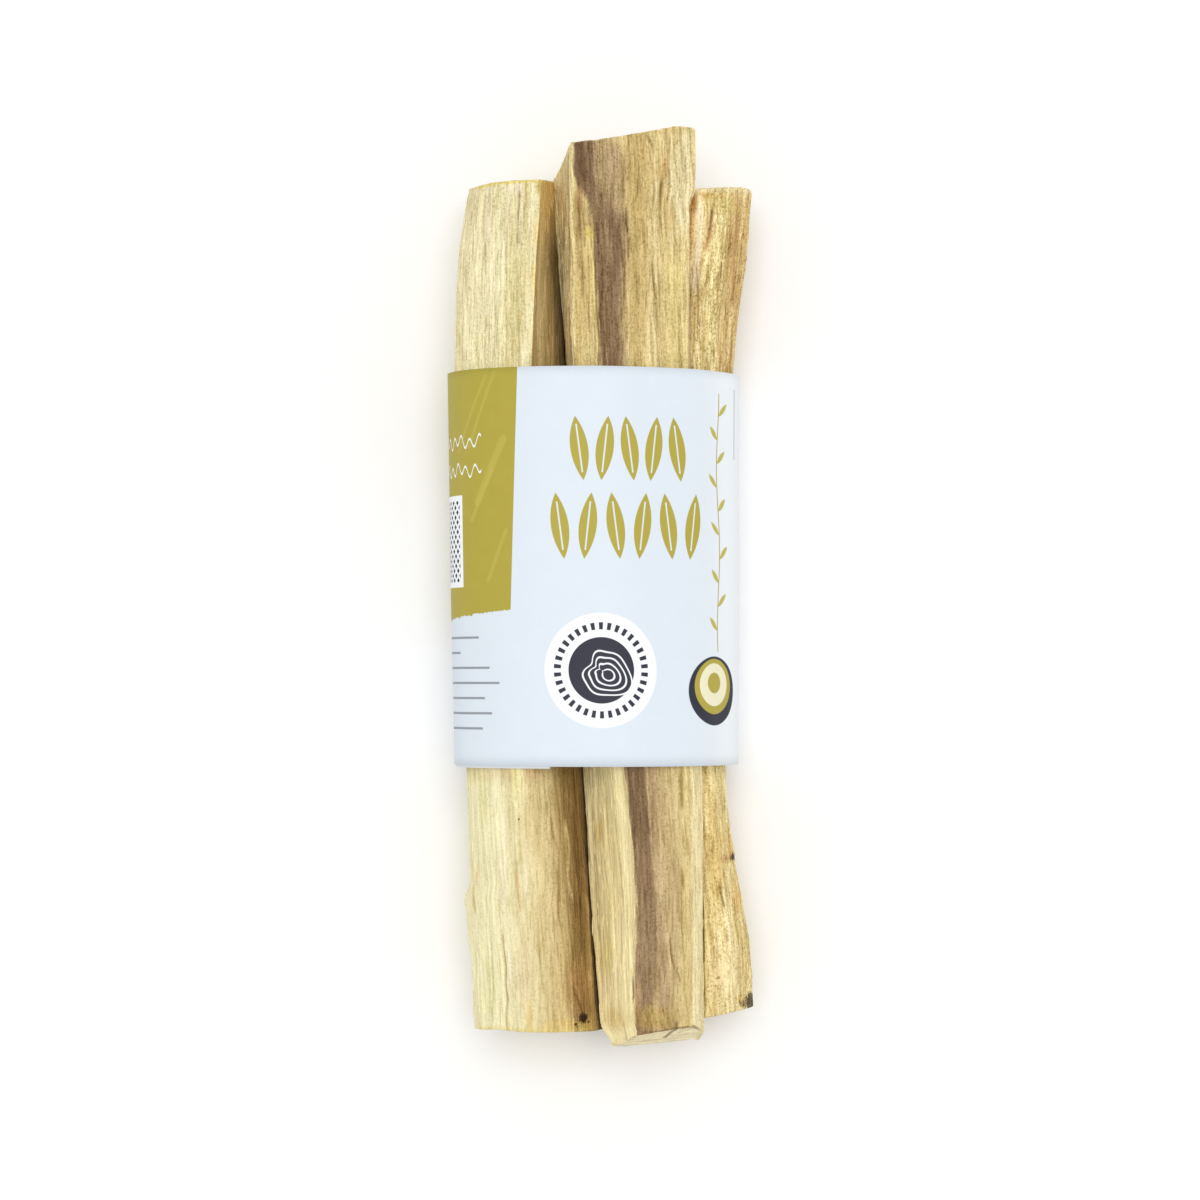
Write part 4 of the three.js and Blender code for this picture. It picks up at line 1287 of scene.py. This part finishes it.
def panel(u, v, at, place, colour):
    """The olive panel on the left with soft lighter strokes and a brushed lower edge."""
    edge = (at(-9.0) * (v + 2.3) + at(-10.1) * (24.6 - v)) / 26.9
    brushed = place.noise((2.4, 0.8, 1.0), 3, 0.7) * 0.9
    lower = (u - at(-10.1)) * 0.1 - 2.75 + brushed
    inside = (edge - u).at_most(v - lower).inked()
    mottle = place.noise((0.5, 0.5, 0.5), 3, 0.6)
    olive = Wire(place.board, OLIVE).painted(mottle * 0.35, LIGHT_OLIVE)
    for x0, v0, x1, v1, width in PANEL_STROKES:
        line = stroke(u, v, (at(x0), v0), (at(x1), v1), width).inked(0.3)
        olive = olive.painted(line * 0.55, LIGHT_OLIVE)
    for middle in (16.7, 13.5):
        wave = (u * 4.2 + middle).sine() * 0.55 + (u * 1.7).sine() * 0.25
        line = (0.13 - abs(v - middle - wave)).inked(0.08) * u.within(at(-13.2) - 13, at(-13.2))
        olive = olive.painted(line, BRIGHT_WHITE)
    right = at(-15.5)
    olive = olive.painted(u.within(right - 10.4, right) * v.within(0.3, 10.7), BRIGHT_WHITE)
    _, near_u = (u + v).cell(0.0, 1.1)
    _, near_v = (u - v).cell(0.0, 1.1)
    lattice = (0.32 - abs(near_u).at_least(abs(near_v))).inked()
    lattice = lattice * u.within(right - 9.8, right - 0.6) * v.within(0.9, 10.1)
    return colour.painted(inside, olive.painted(lattice, NAVY))


def rules(u, v, at, colour):
    """Plain thin rules under the panel, and one upright rule near the right edge."""
    upright = u.within(at(15.6), at(15.6) + 0.16) * v.within(15.0, 23.0)
    colour = colour.painted(upright * 0.8, RULE_GREY)
    for number, end in enumerate(RULE_ENDS):
        height = -5.4 - 1.7 * number
        line = (0.13 - abs(v - height)).inked() * u.within(at(end) - 22, at(end))
        colour = colour.painted(line * 0.8, RULE_GREY)
    return colour


def printed_paper(front):
    """Faintly mottled white paper, printed on its outer side."""
    def at(x):
        return float(np.interp(x, *front))

    material, board = new_material("printed_white_paper")
    place = board.attribute("sheet", "Vector")
    u, v, _ = place.parts()
    mottle = place.noise((0.35, 0.35, 1.0), 3, 0.6)
    fibres = place.noise((5.0, 5.0, 1.0), 2, 0.6)
    paper = Wire(board, PAPER).brightened(0.985 + (mottle - 0.5) * 0.05 + (fibres - 0.5) * 0.03)
    # Painted light: the band's right side, which turns from the lamp, painted whiter
    paper = paper.painted(u.ramp(at(9.0), at(16.0)) * 0.7, BRIGHT_WHITE)
    colour = rules(u, v, at, panel(u, v, at, place, paper))
    for row in LEAF_ROWS:
        colour = colour.painted(leaf_row(u, v, row, at), GOLD_OLIVE)
    colour = sprig(u, v, at, seal(u, v, colour))
    inputs = {
        "Base Color": paper.painted(board.attribute("printed"), colour), "Specular IOR Level": 0.3,
        "Roughness": 0.5 + fibres * 0.15, "Normal": bumped(board, 0.15, 0.05, fibres),
    }
    add_shader(board, inputs)
    return material


# Paper band

def band_rows(count):
    """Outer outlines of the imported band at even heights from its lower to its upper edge."""
    places, triangles = merged_solid("paper_band")
    low = places[:, 1].min()
    high = places[:, 1].max()
    heights = np.linspace(low, high, count)
    rows = []
    for height in heights:
        level = np.clip(height, low + 0.02, high - 0.02)
        outlines = cut_outlines(places, triangles, places[:, 1], level)
        outer = max(outlines, key=lambda outline: abs(enclosed_area(outline)))
        rows.append(even_outline(outer, 720))
    return heights, np.stack(rows)


def make_band():
    heights, rows = band_rows(PAPER_ROWS)
    rows = blur_round(rows, 3)
    normals = outward(rows)
    around = rows.shape[1]
    middle_row = rows[len(rows) // 2]
    gaps = np.linalg.norm(np.roll(middle_row, -1, axis=0) - middle_row, axis=1)
    travelled = np.concatenate([[0], np.cumsum(gaps)])
    perimeter = travelled[-1]
    top = travelled[int(np.argmax(middle_row[:, 1]))]
    flat_end = travelled[around - 1] - abs(middle_row[0, 0] + BACK_HALF_WIDTH)
    free_end = flat_end - 0.03 * perimeter
    run = np.linspace(0, perimeter * (1 + LAP_SHARE), PAPER_STEPS)
    depth = ease(perimeter - 6, perimeter - 0.4, run) * (PAPER_THICKNESS + LAP_GAP)
    slip = -LAP_SLIP * ease(perimeter - 30, perimeter, run)
    where = ((free_end - run) % perimeter) / perimeter * around
    index = np.floor(where).astype(int) % around
    share = (where - np.floor(where))[None, :, None]
    following = (index + 1) % around
    centre = rows[:, index] * (1 - share) + rows[:, following] * share
    facing = normals[:, index] * (1 - share) + normals[:, following] * share
    tall = np.broadcast_to(heights[:, None], centre.shape[:2]) + slip
    spots = np.stack([centre[..., 0], tall, centre[..., 1]], axis=-1)
    dent = 0.05 + 0.05 * soft_noise(spots, (9, 16, 9), 91)
    sides = []
    for extra in (0, PAPER_THICKNESS):
        shell = centre - facing * (depth[None, :, None] + dent[..., None] + extra)
        sides.append(np.stack([shell[..., 0], tall, np.maximum(shell[..., 1], 0.02 + extra)], axis=-1))
    here = np.arange(tall.size).reshape(tall.shape)
    back = here + here.size
    rim = np.concatenate([here[0, :], here[1:, -1], here[-1, -2::-1], here[-2:0:-1, 0]])
    rim_next = np.roll(rim, -1)
    faces = quads(here[:-1, :-1], here[:-1, 1:], here[1:, 1:], here[1:, :-1])
    faces += quads(back[:-1, :-1], back[1:, :-1], back[1:, 1:], back[:-1, 1:])
    faces += quads(rim_next, rim, rim + here.size, rim_next + here.size)
    piece = new_mesh("printed_band", np.concatenate([side.reshape(-1, 3) for side in sides]), faces)
    unrolled = np.broadcast_to(top - (free_end - run), tall.shape)
    sheet = np.stack([unrolled, tall, np.zeros_like(tall)], axis=-1)
    printed = np.broadcast_to((run < perimeter - 0.5).astype(float), tall.shape)
    add_layer(piece, "sheet", "FLOAT_VECTOR", sheet, sheet)
    add_layer(piece, "printed", "FLOAT", printed, 0 * printed)
    over = middle_row[:, 1] > FRONT_HEIGHT
    order = np.argsort(middle_row[over, 0])
    front = (middle_row[over, 0][order], (top - travelled[:-1])[over][order])
    piece.data.materials.append(printed_paper(front))
    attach(piece, "root")
    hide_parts("paper_band")


GRAIN = grain_group()
KNOT = knot_group()
FIBRES = fibre_tree()
for stick_name, stick_plan in STICKS.items():
    make_stick(stick_name, stick_plan)
make_band()


# Floor, light and camera

def make_floor():
    size = 600
    corners = [(-size, -size, 0), (size, -size, 0), (size, size, 0), (-size, size, 0)]
    floor = new_mesh("floor", corners, [(0, 1, 2, 3)], smooth=False)
    material, board = new_material("pale_floor")
    add_shader(board, {"Base Color": (0.93, 0.93, 0.93, 1), "Roughness": 0.9, "Specular IOR Level": 0})
    floor.data.materials.append(material)


def make_light():
    sun = bpy.data.lights.new("softbox", "SUN")
    sun.energy = 1.35
    sun.angle = math.radians(42)
    lamp = bpy.data.objects.new("softbox", sun)
    lamp.rotation_euler = (math.radians(-10), math.radians(1), 0)
    bpy.context.scene.collection.objects.link(lamp)
    world = bpy.data.worlds.new("studio")
    world.use_nodes = True
    sky = world.node_tree.nodes["Background"]
    sky.inputs["Color"].default_value = (1, 1, 1, 1)
    sky.inputs["Strength"].default_value = 0.7
    bpy.context.scene.world = world


def make_camera():
    """Straight above the bundle and a little below its middle, so that the frame's middle is higher."""
    lens = bpy.data.cameras.new("camera")
    lens.sensor_width = 36
    lens.lens = CAMERA_LENS
    lens.clip_start = 0.01
    lens.clip_end = 5
    camera = bpy.data.objects.new("camera", lens)
    camera.location = np.array(CAMERA_PLACE) * MM
    camera.rotation_euler = (CAMERA_TILT, 0, 0)
    bpy.context.scene.collection.objects.link(camera)
    bpy.context.scene.camera = camera


make_floor()
make_light()
make_camera()
bpy.context.scene.view_settings.view_transform = "Standard"
